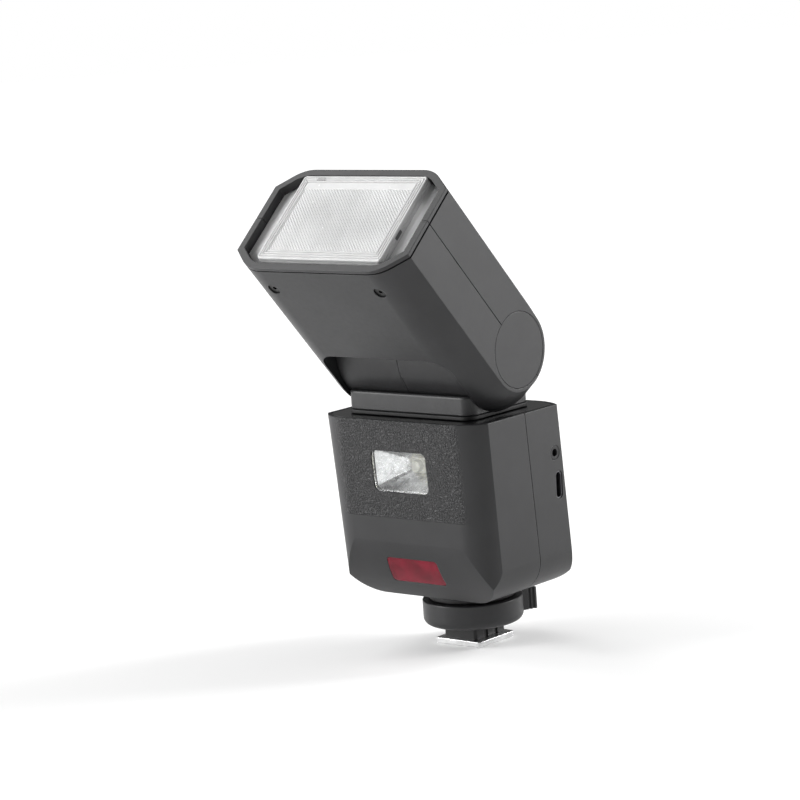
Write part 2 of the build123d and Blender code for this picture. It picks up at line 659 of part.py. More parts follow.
def make_controls():
    for name, (x, height) in zip(BUTTON_NAMES, BUTTONS):
        with BuildPart() as button:
            with BuildSketch(rear_face(x, height).offset(-BUTTON_SEAT)):
                RectangleRounded(BUTTON_W, BUTTON_H, 1.0)
            extrude(amount=3.1)
            fillet(button.faces().sort_by(Axis.Y)[-1].edges(), 0.35)
            with BuildSketch(rear_face(x, height).offset(-STEM_END)):
                Circle(STEM_R)
            extrude(amount=STEM_END - BUTTON_SEAT)
        save(button, name)

    for name, (x, height) in zip(ROUND_BUTTON_NAMES, ROUND_BUTTONS):
        with BuildPart() as button:
            with BuildSketch(rear_face(x, height).offset(-BUTTON_SEAT)):
                Circle(ROUND_BUTTON_R)
            extrude(amount=3.0)
            fillet(button.faces().sort_by(Axis.Y)[-1].edges(), 0.4)
            with BuildSketch(rear_face(x, height).offset(-STEM_END)):
                Circle(STEM_R)
            extrude(amount=STEM_END - BUTTON_SEAT)
        save(button, name)

    with BuildPart() as select_dial:
        with BuildSketch(rear_face(0, DIAL_Z).offset(-1.8)):
            Circle(DIAL_R)
        extrude(amount=3.0)
        fillet(select_dial.faces().sort_by(Axis.Y)[-1].edges(), 0.5)
        with BuildSketch(rear_face(0, DIAL_Z).offset(-0.1)):
            with PolarLocations(DIAL_R + 0.12, 36):
                Circle(0.28)
        extrude(amount=2, mode=Mode.SUBTRACT)
        with BuildSketch(rear_face(0, DIAL_Z).offset(-2.0)):
            Circle(SET_R + 0.2)
        extrude(amount=5, mode=Mode.SUBTRACT)
    save(select_dial, "select_dial")

    with BuildPart() as set_button:
        with BuildSketch(rear_face(0, DIAL_Z).offset(-BUTTON_SEAT)):
            Circle(SET_R)
        extrude(amount=2.9)
        fillet(set_button.faces().sort_by(Axis.Y)[-1].edges(), 0.4)
        # the stem stops short of the encoder's base at full travel
        set_stem = ENCODER_TOP - BUTTON_TRAVEL - 0.2
        with BuildSketch(rear_face(0, DIAL_Z).offset(-set_stem)):
            Circle(STEM_R)
        extrude(amount=set_stem - BUTTON_SEAT)
    save(set_button, "set_button")

    with BuildPart() as dial_encoder:
        with BuildSketch(rear_face(0, DIAL_Z).offset(-ENCODER_TOP - 1.2)):
            Rectangle(12, 12)
        extrude(amount=1.2)
        with BuildSketch(rear_face(0, DIAL_Z).offset(-ENCODER_TOP)):
            Circle(DIAL_R - 0.6)
            Circle(2.0, mode=Mode.SUBTRACT)
        extrude(amount=2.7)
        with BuildSketch(rear_face(0, DIAL_Z).offset(-3.4)):
            Circle(SET_R + 0.6)
        extrude(amount=3, mode=Mode.SUBTRACT)
    save(dial_encoder, "dial_encoder")

    with BuildPart() as power_switch:
        with BuildSketch(rear_face(SWITCH_X + SWITCH_TRAVEL / 2, SWITCH_Z).offset(-2.2)):
            SlotOverall(SWITCH_W, SWITCH_H)
        extrude(amount=3.2)
        fillet(power_switch.faces().sort_by(Axis.Y)[-1].edges(), 0.3)
        with BuildSketch(rear_face(SWITCH_X + SWITCH_TRAVEL / 2, SWITCH_Z).offset(0.75)):
            with GridLocations(1.0, 0, 3, 1):
                Rectangle(0.4, SWITCH_H)
        extrude(amount=2, mode=Mode.SUBTRACT)
    save(power_switch, "power_switch")


# ---------------------------------------------------------------- neck
def barrel_plane(x):
    """Plane across the hinge axis at a distance along it."""
    return Plane(origin=(x, HINGE_Y, HINGE_Z), x_dir=(0, 1, 0), z_dir=(1, 0, 0))


def make_neck():
    with BuildPart() as neck_base:
        with BuildSketch(Plane.XY.offset(NECK_Z0)):
            with Locations((0, SWIVEL_Y)):
                RectangleRounded(NECK_W, NECK_D + 0.8, NECK_CORNER_R)
                Circle(7.5, mode=Mode.SUBTRACT)
        extrude(amount=NECK_BASE_T)
        fillet(neck_base.edges().group_by(Axis.Z)[-1], 0.3)
    save(neck_base, "neck_base")

    block_z0 = NECK_Z0 + NECK_BASE_T
    with BuildPart() as neck_block:
        with BuildSketch(Plane.XY.offset(block_z0)):
            with Locations((0, SWIVEL_Y)):
                RectangleRounded(NECK_W, NECK_D, NECK_CORNER_R)
        extrude(amount=NECK_Z1 - block_z0)
        fillet(neck_block.edges().group_by(Axis.Z)[-1], 0.8)
        chamfer(neck_block.edges().group_by(Axis.Z)[0], 0.4)
        with BuildSketch(Plane.XY.offset(block_z0)):
            with Locations((0, SWIVEL_Y)):
                RectangleRounded(NECK_W - 4, NECK_D - 9, 2)
        extrude(amount=10, mode=Mode.SUBTRACT)
    save(neck_block, "neck_block")

    with BuildPart() as barrel:
        with BuildSketch(barrel_plane(-NECK_W / 2)):
            Circle(BARREL_R)
        extrude(amount=NECK_W)
        fillet(barrel.edges(), 0.4)
        with BuildSketch(barrel_plane(BARREL_WALL - NECK_W / 2)):
            Circle(BARREL_R - BARREL_WALL)
        extrude(amount=NECK_W - 2 * BARREL_WALL, mode=Mode.SUBTRACT)
        with BuildSketch(barrel_plane(-NECK_W)):
            Circle(SHAFT_R + 0.1)
        extrude(amount=2 * NECK_W, mode=Mode.SUBTRACT)
        # tilt index slot on the front, beside the parting line
        with BuildSketch(Plane.XZ.offset(-HINGE_Y)):
            with Locations((0, HINGE_Z - 9.5)):
                SlotOverall(4.2, 0.9, rotation=90)
        extrude(amount=BARREL_R + 2, mode=Mode.SUBTRACT)
        split(bisect_by=Plane.XY.offset(NECK_Z1 + SMALL_GAP), keep=Keep.TOP)
    with BuildPart() as barrel_left:
        add(barrel.part)
        split(bisect_by=Plane.YZ.offset(-SMALL_GAP), keep=Keep.BOTTOM)
    save(barrel_left, "barrel_left")
    with BuildPart() as barrel_right:
        add(barrel.part)
        split(bisect_by=Plane.YZ.offset(SMALL_GAP), keep=Keep.TOP)
    save(barrel_right, "barrel_right")

    with BuildPart() as tilt_bracket:
        with BuildSketch(Plane.XY.offset(BRACKET_Z)):
            with Locations((0, SWIVEL_Y)):
                RectangleRounded(2 * BRACKET_X, 20, 1)
        extrude(amount=EAR_T)
        for side in (-1, 1):
            ear_x = side * BRACKET_X - (EAR_T if side > 0 else 0)
            with BuildSketch(barrel_plane(ear_x)):
                Circle(EAR_R)
                with Locations((SWIVEL_Y - HINGE_Y, (BRACKET_Z - HINGE_Z) / 2)):
                    Rectangle(2 * EAR_R, HINGE_Z - BRACKET_Z)
            extrude(amount=EAR_T)
        with BuildSketch(barrel_plane(-BRACKET_X - 1)):
            Circle(SHAFT_R + 0.02)
        extrude(amount=2 * BRACKET_X + 2, mode=Mode.SUBTRACT)
        with BuildSketch(Plane.XY.offset(BRACKET_Z)):
            with Locations((0, SWIVEL_Y)):
                Circle(SPINDLE_BORE_R)
        extrude(amount=2, mode=Mode.SUBTRACT)
    save(tilt_bracket, "tilt_bracket")

    # each stub shaft as (from, to, radius): inner flange, shank, outer head
    shank = STUB_FLANGE + 2.2
    stub_steps = [(STUB_FLANGE, shank, 6.5), (shank, STUB_HEAD + 0.1, SHAFT_R),
                  (STUB_HEAD, STUB_HEAD + 2.4, 8.4)]
    with BuildPart() as tilt_shafts:
        for side in (-1, 1):
            for start, end, radius in stub_steps:
                with BuildSketch(barrel_plane(side * start)):
                    Circle(radius)
                    Circle(STUB_BORE_R, mode=Mode.SUBTRACT)
                extrude(amount=side * (end - start))
    save(tilt_shafts, "tilt_shafts")

    with BuildPart() as tilt_detents:
        for side in (-1, 1):
            with BuildSketch(barrel_plane(side * (BRACKET_X + 0.1))):
                Circle(DETENT_R)
                Circle(SHAFT_R + 0.02, mode=Mode.SUBTRACT)
                with PolarLocations(DETENT_R - 1, DETENT_COUNT):
                    Circle(0.8, mode=Mode.SUBTRACT)
            extrude(amount=side * DETENT_T)
    save(tilt_detents, "tilt_detents")

    # spindle as (from, to, radius): shaft, waist through the neck base, head
    spindle_steps = [(SPINDLE_Z0, NECK_Z0 - 0.02, SPINDLE_R), (NECK_Z0 - 0.02, block_z0, 7.4),
                     (block_z0, BRACKET_Z - 0.02, 10.6)]
    with BuildPart() as swivel_spindle:
        for start, end, radius in spindle_steps:
            with BuildSketch(Plane.XY.offset(start)):
                with Locations((0, SWIVEL_Y)):
                    Circle(radius)
                    Circle(SPINDLE_BORE_R, mode=Mode.SUBTRACT)
            extrude(amount=end - start)
        with BuildSketch(Plane.XY.offset(CLIP_Z - 0.05)):
            with Locations((0, SWIVEL_Y)):
                Circle(SPINDLE_R + 1)
                Circle(SPINDLE_R - CLIP_DEPTH, mode=Mode.SUBTRACT)
        extrude(amount=CLIP_T + 0.1, mode=Mode.SUBTRACT)
    save(swivel_spindle, "swivel_spindle")

    with BuildPart() as swivel_clip:
        with BuildSketch(Plane.XY.offset(CLIP_Z)):
            with Locations((0, SWIVEL_Y)):
                Circle(CLIP_R)
                Circle(SPINDLE_R - CLIP_DEPTH + 0.05, mode=Mode.SUBTRACT)
                with Locations((0, 10.5)):
                    Rectangle(3, 6, mode=Mode.SUBTRACT)
        extrude(amount=CLIP_T)
    save(swivel_clip, "swivel_clip")

    with BuildPart() as swivel_washer:
        with BuildSketch(Plane.XY.offset(WASHER_Z)):
            with Locations((0, SWIVEL_Y)):
                Circle(WASHER_R)
                Circle(SPINDLE_R + 0.1, mode=Mode.SUBTRACT)
        extrude(amount=DECK_Z - DECK_T - SMALL_GAP - WASHER_Z)
    save(swivel_washer, "swivel_washer")


# ---------------------------------------------------------------- head
def head_section(along, inset=0.0, upper_half=False):
    """Cross-section of the head at a distance along it, drawn inwards by inset."""
    with BuildSketch(HEAD.offset(along)) as section:
        with BuildLine():
            Polyline((-HEAD_HALF_W, -SIDE_FLAT_HALF_H), (-TOP_FLAT_HALF_W, -HEAD_HALF_H),
                     (TOP_FLAT_HALF_W, -HEAD_HALF_H), (HEAD_HALF_W, -SIDE_FLAT_HALF_H),
                     (HEAD_HALF_W, SIDE_FLAT_HALF_H), (TOP_FLAT_HALF_W, HEAD_HALF_H),
                     (-TOP_FLAT_HALF_W, HEAD_HALF_H), (-HEAD_HALF_W, SIDE_FLAT_HALF_H), close=True)
        make_face()
        corners = section.vertices().group_by(Axis.X)
        fillet(corners[1] + corners[2], HEAD_CORNER_R)
        if inset:
            offset(amount=-inset, kind=Kind.INTERSECTION)
        if upper_half:
            with Locations((0, -HEAD_HALF_H)):
                Rectangle(4 * HEAD_HALF_W, 2 * HEAD_HALF_H, mode=Mode.SUBTRACT)
    return section.sketch


def head_form():
    """Outer shape: the section run along the head, closed by a round end about the hinge."""
    with BuildPart() as form:
        extrude(head_section(0), amount=HEAD_LENGTH)
        revolve(head_section(0, upper_half=True), axis=Axis(HINGE, (-1, 0, 0)), revolution_arc=180)
    return form.part


def across(radius, half_width):
    """Cylinder about the hinge axis, centred on the middle of the head."""
    with BuildPart() as bar:
        with BuildSketch(barrel_plane(-half_width)):
            Circle(radius)
        extrude(amount=2 * half_width)
    return bar.part


def underside_plane(below):
    """Plane facing down from the head: local x across, y towards the lens."""
    down = Vector(0, -sin(TILT), -cos(TILT))
    return Plane(origin=HINGE + down * below, x_dir=(1, 0, 0), z_dir=down)


def make_head_shells():
    with BuildPart() as notch:
        with BuildSketch(underside_plane(0)):
            with Locations((0, (NOTCH_W - 40) / 2)):
                Rectangle(2 * CHEEK_U, NOTCH_W + 40)
            fillet(vertices().group_by(Axis.Y)[-1], NOTCH_R)
        extrude(amount=HEAD_HALF_H + 3)

    with BuildPart() as shell:
        add(head_form())
        # reveal behind the rim
        groove_w = HEAD_LENGTH - RIM_T - RIM_GROOVE
        extrude(head_section(groove_w, inset=-1.0), amount=RIM_GROOVE, mode=Mode.SUBTRACT)
        extrude(head_section(groove_w - 0.5, inset=0.6), amount=RIM_GROOVE + 1.0)
        cavity_length = LENS_SEAT_W - BULKHEAD_R
        extrude(head_section(BULKHEAD_R, inset=HEAD_WALL), amount=cavity_length, mode=Mode.SUBTRACT)
        extrude(head_section(LENS_SEAT_W - 1, inset=RIM_LIP), amount=6, mode=Mode.SUBTRACT)
        add(across(BARREL_CLEAR_R, CHEEK_U), mode=Mode.SUBTRACT)
        with BuildSketch(HEAD_SIDE):
            with Locations((REAR_LIP_W - 20, 0)):
                Rectangle(40, 60)
        extrude(amount=CHEEK_U, both=True, mode=Mode.SUBTRACT)
        add(notch.part, mode=Mode.SUBTRACT)
        # bearing, shaft-head recess and cap seat in each cheek, as (from, radius)
        cheek_bores = [(CHEEK_U - 1, SHAFT_R + SHAFT_CLEAR), (STUB_HEAD - 0.3, 9.4),
                       (HEAD_HALF_W - CAP_T - 0.1, CAP_R + 0.15)]
        for side in (-1, 1):
            for start, radius in cheek_bores:
                with BuildSketch(barrel_plane(side * start)):
                    Circle(radius)
                extrude(amount=side * 12, mode=Mode.SUBTRACT)
        # screw posts
        with BuildSketch(underside_plane(-HEAD_HALF_H + 1)):
            with Locations(*HEAD_SCREWS):
                Circle(2.8)
        extrude(amount=2 * HEAD_HALF_H - 2)
        with BuildSketch(underside_plane(-5)):
            with Locations(*HEAD_SCREWS):
                Circle(0.85)
        extrude(amount=30, mode=Mode.SUBTRACT)
        with BuildSketch(underside_plane(HEAD_HALF_H - 1.6)):
            with Locations(*HEAD_SCREWS):
                Circle(2.1)
        extrude(amount=3, mode=Mode.SUBTRACT)

    with BuildPart() as head_upper_shell:
        add(shell.part)
        split(bisect_by=underside_plane(-SEAM_GAP / 2), keep=Keep.BOTTOM)
    save(head_upper_shell, "head_upper_shell")

    with BuildPart() as head_lower_shell:
        add(shell.part)
        split(bisect_by=underside_plane(SEAM_GAP / 2), keep=Keep.TOP)
    save(head_lower_shell, "head_lower_shell")

    with BuildPart() as head_screws:
        with BuildSketch(underside_plane(-5)):
            with Locations(*HEAD_SCREWS):
                Circle(0.8)
        extrude(amount=HEAD_HALF_H - 1.5 + 5)
        with BuildSketch(underside_plane(HEAD_HALF_H - 1.5)):
            with Locations(*HEAD_SCREWS):
                Circle(1.9)
                RegularPolygon(0.8, 6, mode=Mode.SUBTRACT)
        extrude(amount=1.0)
    save(head_screws, "head_screws")

    for side, name in ((-1, "hinge_cap_right"), (1, "hinge_cap_left")):
        with BuildPart() as hinge_cap:
            with BuildSketch(barrel_plane(side * (HEAD_HALF_W - CAP_T))):
                Circle(CAP_R)
            extrude(amount=side * (CAP_T - 0.02))
        save(hinge_cap, name)


def make_head_front():
    with BuildPart() as front_lens:
        extrude(head_section(LENS_SEAT_W - 1.5, inset=HEAD_WALL + 0.12), amount=1.4)
        with BuildSketch(HEAD.offset(LENS_SEAT_W - 0.1)):
            RectangleRounded(LENS_W, LENS_H, 1.2)
        extrude(amount=HEAD_LENGTH - LENS_SEAT_W)
        with BuildSketch(HEAD.offset(LENS_SEAT_W - 1.5)):
            RectangleRounded(LENS_W - 3, LENS_H - 3, 1.0)
        extrude(amount=2.9, mode=Mode.SUBTRACT)
    save(front_lens, "front_lens")


def tube_plane():
    """Plane across the flash tube's axis, in the middle of the head."""
    return Plane(origin=HEAD.offset(TUBE_W).origin, x_dir=(0, 1, 0), z_dir=(1, 0, 0))


def make_zoom():
    mouth = HEAD.offset(MOUTH_W)
    throat = HEAD.offset(MOUTH_W - 20)
    with BuildPart() as reflector:
        for inset in (0.0, 0.6):
            with BuildSketch(mouth):
                RectangleRounded(37.0 - 2 * inset, 27.0 - 2 * inset, 3.0)
            with BuildSketch(throat.offset(inset)):
                RectangleRounded(28.0 - 2 * inset, 9.0 - 2 * inset, 2.0)
            loft(mode=Mode.SUBTRACT if inset else Mode.ADD)
        with BuildSketch(tube_plane()):
            Circle(TUBE_R + 0.1)
        extrude(amount=30, both=True, mode=Mode.SUBTRACT)
    save(reflector, "reflector")

    with BuildPart() as flash_tube:
        with BuildSketch(tube_plane()):
            Circle(TUBE_R)
        extrude(amount=19.0, both=True)
        fillet(flash_tube.edges(), 1.0)
    save(flash_tube, "flash_tube")

    notch_v = SCREW_V - MOTOR_R - 0.3
    with BuildPart() as zoom_carriage:
        with BuildSketch(HEAD.offset(PLATE_AT)):
            RectangleRounded(CARRIAGE_W, CARRIAGE_H, 2)
            with Locations(*RODS):
                Circle(2.6)
            RectangleRounded(29.6, 11.6, 2.0, mode=Mode.SUBTRACT)
            with Locations(*RODS):
                Circle(ROD_R + 0.05, mode=Mode.SUBTRACT)
            # the motor stands in this notch when the carriage is back
            with Locations((0, notch_v + 1)):
                Rectangle(2 * MOTOR_R + 1.4, 2, mode=Mode.SUBTRACT)
        extrude(amount=CARRIAGE_T)
        # ears that hold the flash tube
        for side in (-1, 1):
            ear_origin = HEAD.offset(TUBE_W - 1.2).origin + Vector(side * 16.6, 0, 0)
            with BuildSketch(Plane(origin=ear_origin, x_dir=HEAD_AXIS, z_dir=(side, 0, 0))):
                Rectangle(8.4, 8.0)
            extrude(amount=1.8)
        with BuildSketch(tube_plane()):
            Circle(TUBE_R + 0.03)
        extrude(amount=30, both=True, mode=Mode.SUBTRACT)
        # arm and nut for the lead screw, under the motor and clear of the reflector
        with BuildSketch(HEAD.offset(PLATE_AT + CARRIAGE_T - 0.1)):
            with Locations((0, ARM_V)):
                Rectangle(ARM_W, ARM_T)
        extrude(amount=NUT_AT + NUT_T - PLATE_AT - CARRIAGE_T + 0.1)
        nut_bottom = ARM_V - ARM_T / 2
        with BuildSketch(HEAD.offset(NUT_AT)):
            with Locations((0, (NUT_TOP + nut_bottom) / 2)):
                Rectangle(ARM_W, NUT_TOP - nut_bottom)
            with Locations((0, SCREW_V)):
                Circle(SCREW_R + 0.05, mode=Mode.SUBTRACT)
        extrude(amount=NUT_T)
    save(zoom_carriage, "zoom_carriage")

    with BuildPart() as guide_rods:
        with BuildSketch(HEAD.offset(BULKHEAD_R + 0.05)):
            with Locations(*RODS):
                Circle(ROD_R)
        extrude(amount=LENS_SEAT_W - 1.9 - BULKHEAD_R)
    save(guide_rods, "guide_rods")

    motor_at = BULKHEAD_R + SMALL_GAP
    with BuildPart() as zoom_motor:
        with BuildSketch(HEAD.offset(motor_at)):
            with Locations((0, SCREW_V)):
                Circle(MOTOR_R)
        extrude(amount=MOTOR_L)
        with BuildSketch(HEAD.offset(motor_at + MOTOR_L)):
            with Locations((0, SCREW_V)):
                Circle(2.0)
                Circle(0.8, mode=Mode.SUBTRACT)
        extrude(amount=0.6)
    save(zoom_motor, "zoom_motor")

    # the screw reaches the nut at both ends of its travel
    screw_at = motor_at + MOTOR_L + 0.8
    screw_end = NUT_AT + NUT_T + 2.0
    assert screw_at < NUT_AT - ZOOM_TRAVEL
    with BuildPart() as lead_screw:
        with BuildSketch(HEAD.offset(screw_at)):
            with Locations((0, SCREW_V)):
                Circle(SCREW_R)
        extrude(amount=screw_end - screw_at)
    save(lead_screw, "lead_screw")

    board_parts = underside_plane(13.6)
    board_parts.origin += HEAD_AXIS * 36
    board = underside_plane(16.4)
    board.origin += HEAD_AXIS * 36
    with BuildPart() as head_board:
        with BuildSketch(board):
            Rectangle(34, 26)
        extrude(amount=1.2)
        with BuildSketch(board_parts):
            with Locations((9, -4), (-8, 5)):
                Rectangle(9, 7)
        extrude(amount=2.8)
    save(head_board, "head_board")


make_foot()
make_lock()
make_covers()
make_deck()
make_front_windows()
make_electronics()
make_controls()
make_neck()
make_head_shells()
make_head_front()
make_zoom()
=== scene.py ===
import json
import math

import bmesh
import bpy
from mathutils import Matrix, Vector


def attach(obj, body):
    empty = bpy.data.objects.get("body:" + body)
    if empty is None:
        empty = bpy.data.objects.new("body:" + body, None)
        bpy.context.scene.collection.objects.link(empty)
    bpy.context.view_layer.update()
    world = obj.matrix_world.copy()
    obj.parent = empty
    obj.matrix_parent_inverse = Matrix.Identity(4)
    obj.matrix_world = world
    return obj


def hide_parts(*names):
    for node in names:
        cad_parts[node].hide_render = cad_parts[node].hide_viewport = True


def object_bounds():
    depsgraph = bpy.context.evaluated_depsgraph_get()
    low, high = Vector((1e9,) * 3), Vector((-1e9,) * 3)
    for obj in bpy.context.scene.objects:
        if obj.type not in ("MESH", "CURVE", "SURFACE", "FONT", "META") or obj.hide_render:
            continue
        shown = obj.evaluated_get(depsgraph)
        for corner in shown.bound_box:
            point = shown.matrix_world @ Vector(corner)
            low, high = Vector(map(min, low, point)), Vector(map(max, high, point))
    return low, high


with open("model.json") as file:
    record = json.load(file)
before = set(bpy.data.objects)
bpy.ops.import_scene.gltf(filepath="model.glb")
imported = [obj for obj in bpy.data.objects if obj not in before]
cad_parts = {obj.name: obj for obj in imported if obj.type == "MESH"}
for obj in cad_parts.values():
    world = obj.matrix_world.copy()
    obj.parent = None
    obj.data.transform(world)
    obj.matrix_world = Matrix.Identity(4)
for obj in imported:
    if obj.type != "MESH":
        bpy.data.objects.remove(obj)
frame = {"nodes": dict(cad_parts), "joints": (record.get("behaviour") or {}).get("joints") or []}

# Looks of a shoe-mount flash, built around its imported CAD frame. Metres throughout.
MM = 0.001
CAD_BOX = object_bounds()
NODES = frame["nodes"]
JOINTS = {joint["name"]: joint for joint in frame["joints"]}

# ---------------------------------------------------------------- the head's own directions
HINGE = Vector(JOINTS["tilt"]["pos_m"])
HEAD_TILT = math.radians(-JOINTS["tilt"]["range_deg"][0])
ACROSS = Vector((1, 0, 0))
ALONG = Vector((0, -math.cos(HEAD_TILT), math.sin(HEAD_TILT)))
UPWARD = Vector((0, math.sin(HEAD_TILT), math.cos(HEAD_TILT)))


def in_head(u, v, w):
    """Point u across, v above and w in front of the tilt hinge, as the head lies at rest."""
    return HINGE + ACROSS * u + UPWARD * v + ALONG * w


def reach(node, direction):
    """How far a node goes from the tilt hinge along a direction: lowest and highest."""
    steps = [(vertex.co - HINGE).dot(direction) for vertex in NODES[node].data.vertices]
    return min(steps), max(steps)


# ---------------------------------------------------------------- materials
MIX_COLORS = (6, 7)        # the Mix node's two colour inputs
MIX_RESULT = 2             # and its colour output
EDGE_SAMPLES = 6
EDGE_FLAT = 0.995          # cosine between true and rounded normal where an edge starts to show
EDGE_SHARP = 0.90          # and where it shows in full


class Surface:
    """A Principled material while its nodes are being joined up."""

    def __init__(self, name, **constants):
        self.material = bpy.data.materials.new(name)
        self.material.use_nodes = True
        self.tree = self.material.node_tree
        self.shader = self.tree.nodes["Principled BSDF"]
        for socket, value in constants.items():
            self.shader.inputs[socket.replace("_", " ")].default_value = value
        self.place = self.node("ShaderNodeTexCoord").outputs["Object"]

    def node(self, kind, **settings):
        """A new node with its settings."""
        made = self.tree.nodes.new(kind)
        for setting, value in settings.items():
            setattr(made, setting, value)
        return made

    def join(self, source, target):
        """A link from an output to an input."""
        self.tree.links.new(source, target)

    def stretched(self, x, y, z):
        """Object coordinates multiplied along each axis."""
        mapping = self.node("ShaderNodeMapping")
        mapping.inputs["Scale"].default_value = (x, y, z)
        self.join(self.place, mapping.inputs["Vector"])
        return mapping.outputs["Vector"]

    def noise(self, size, detail=3.0, place=None):
        """Noise from 0 to 1 whose blotches are about size millimetres."""
        made = self.node("ShaderNodeTexNoise")
        made.inputs["Scale"].default_value = 1 / (size * MM)
        made.inputs["Detail"].default_value = detail
        self.join(place or self.place, made.inputs["Vector"])
        return made.outputs["Fac"]

    def cells(self, size, place=None):
        """Distance to the nearest crease between cells of about size millimetres."""
        made = self.node("ShaderNodeTexVoronoi", feature="DISTANCE_TO_EDGE")
        made.inputs["Scale"].default_value = 1 / (size * MM)
        self.join(place or self.place, made.inputs["Vector"])
        return made.outputs["Distance"]

    def spread(self, value, low, high, out_low=0.0, out_high=1.0):
        """Goes smoothly from out_low to out_high as the value goes from low to high."""
        made = self.node("ShaderNodeMapRange", interpolation_type="SMOOTHSTEP")
        self.join(value, made.inputs["Value"])
        ends = (("From Min", low), ("From Max", high), ("To Min", out_low), ("To Max", out_high))
        for socket, number in ends:
            made.inputs[socket].default_value = number
        return made.outputs["Result"]

    def combine(self, operation, first, second=0.0):
        """A Math node's result from one or two values or numbers."""
        made = self.node("ShaderNodeMath", operation=operation)
        for socket, value in zip(made.inputs, (first, second)):
            if isinstance(value, float):
                socket.default_value = value
            else:
                self.join(value, socket)
        return made.outputs["Value"]

    def axis(self, letter):
        """One object coordinate, in metres."""
        made = self.node("ShaderNodeSeparateXYZ")
        self.join(self.place, made.inputs["Vector"])
        return made.outputs[letter]

    def color(self, factor, first, second):
        """Base colour that runs from first to second as factor goes from 0 to 1."""
        made = self.node("ShaderNodeMix", data_type="RGBA")
        self.join(factor, made.inputs["Factor"])
        for socket, value in zip(MIX_COLORS, (first, second)):
            if isinstance(value, tuple):
                made.inputs[socket].default_value = (*value, 1)
            else:
                self.join(value, made.inputs[socket])
        return made.outputs[MIX_RESULT]

    def bump(self, height, depth, strength=1.0, after=None):
        """Relief of depth millimetres, on top of an earlier relief if there is one."""
        made = self.node("ShaderNodeBump")
        made.inputs["Distance"].default_value = depth * MM
        made.inputs["Strength"].default_value = strength
        self.join(height, made.inputs["Height"])
        if after:
            self.join(after, made.inputs["Normal"])
        return made.outputs["Normal"]

    def edge(self, radius):
        """1 on sharp outer edges and 0 on flats, from a normal rounded over radius millimetres."""
        rounded = self.node("ShaderNodeBevel", samples=EDGE_SAMPLES)
        rounded.inputs["Radius"].default_value = radius * MM
        plain = self.node("ShaderNodeNewGeometry")
        product = self.node("ShaderNodeVectorMath", operation="DOT_PRODUCT")
        self.join(rounded.outputs["Normal"], product.inputs[0])
        self.join(plain.outputs["Normal"], product.inputs[1])
        return self.spread(product.outputs["Value"], EDGE_FLAT, EDGE_SHARP), rounded.outputs["Normal"]

    def finish(self, color=None, roughness=None, normal=None):
        """The material, with what is given joined to its shader."""
        for socket, source in (("Base Color", color), ("Roughness", roughness), ("Normal", normal)):
            if source:
                self.join(source, self.shader.inputs[socket])
        return self.material


def tint(color, share):
    """A colour made lighter or darker."""
    return tuple(channel * share for channel in color)


EDGE_WIDTH = 0.35          # millimetres over which a plastic edge is paled, partly rubbed wear and partly painted highlight
PALE_EDGE_PATCH_SIZE = 2.5          # millimetres across a patch of paler edge
EDGE_WEAR_AND_HIGHLIGHT_TINT = 2.6          # how much paler the edge is: rubbed wear and painted highlight
CLOUD_SIZE = 14            # millimetres across the slow changes of tone


def moulded_plastic(name, color, rough, grain=0.35, depth=0.02):
    """Spark-textured black plastic: fine grain, faint handling marks and paler edges, partly rubbed wear
    and partly painted highlight.
    """
    made = Surface(name, IOR=1.5, Specular_IOR_Level=0.42)
    edge_mask, rounded = made.edge(EDGE_WIDTH)
    clouds = made.noise(CLOUD_SIZE)
    base = made.color(made.spread(clouds, 0.3, 0.7), tint(color, 0.88), tint(color, 1.12))
    rubbed_and_highlit = made.combine("MULTIPLY", edge_mask, made.noise(PALE_EDGE_PATCH_SIZE))
    # paler edges: partly rubbed wear, partly painted highlight
    base = made.color(rubbed_and_highlit, base, tint(color, EDGE_WEAR_AND_HIGHLIGHT_TINT))
    marks = made.spread(made.noise(1.6, 4), 0.3, 0.75, rough - 0.02, rough + 0.02)
    fine = made.bump(made.noise(grain, 2), depth, 0.6, after=rounded)
    return made.finish(base, marks, fine)


GRAIN_FLOOR = 46.7 * MM    # the pebbles start above this height
GRAIN_SIDE = 22.0 * MM     # and fade out from here
GRAIN_FADE = 5 * MM        # over this much
GRAIN_FRONT = -23 * MM     # they are whole in front of this plane
GRAIN_BACK = -19 * MM      # and gone behind this one
PEBBLE_SIZE = 0.95         # millimetres
PEBBLE_DEPTH = 0.2         # millimetres
WANDER_SIZE = 1.2 * MM     # size of the noise that bends the creases
WANDER_REACH = 0.7 * MM    # and how far it can shift them


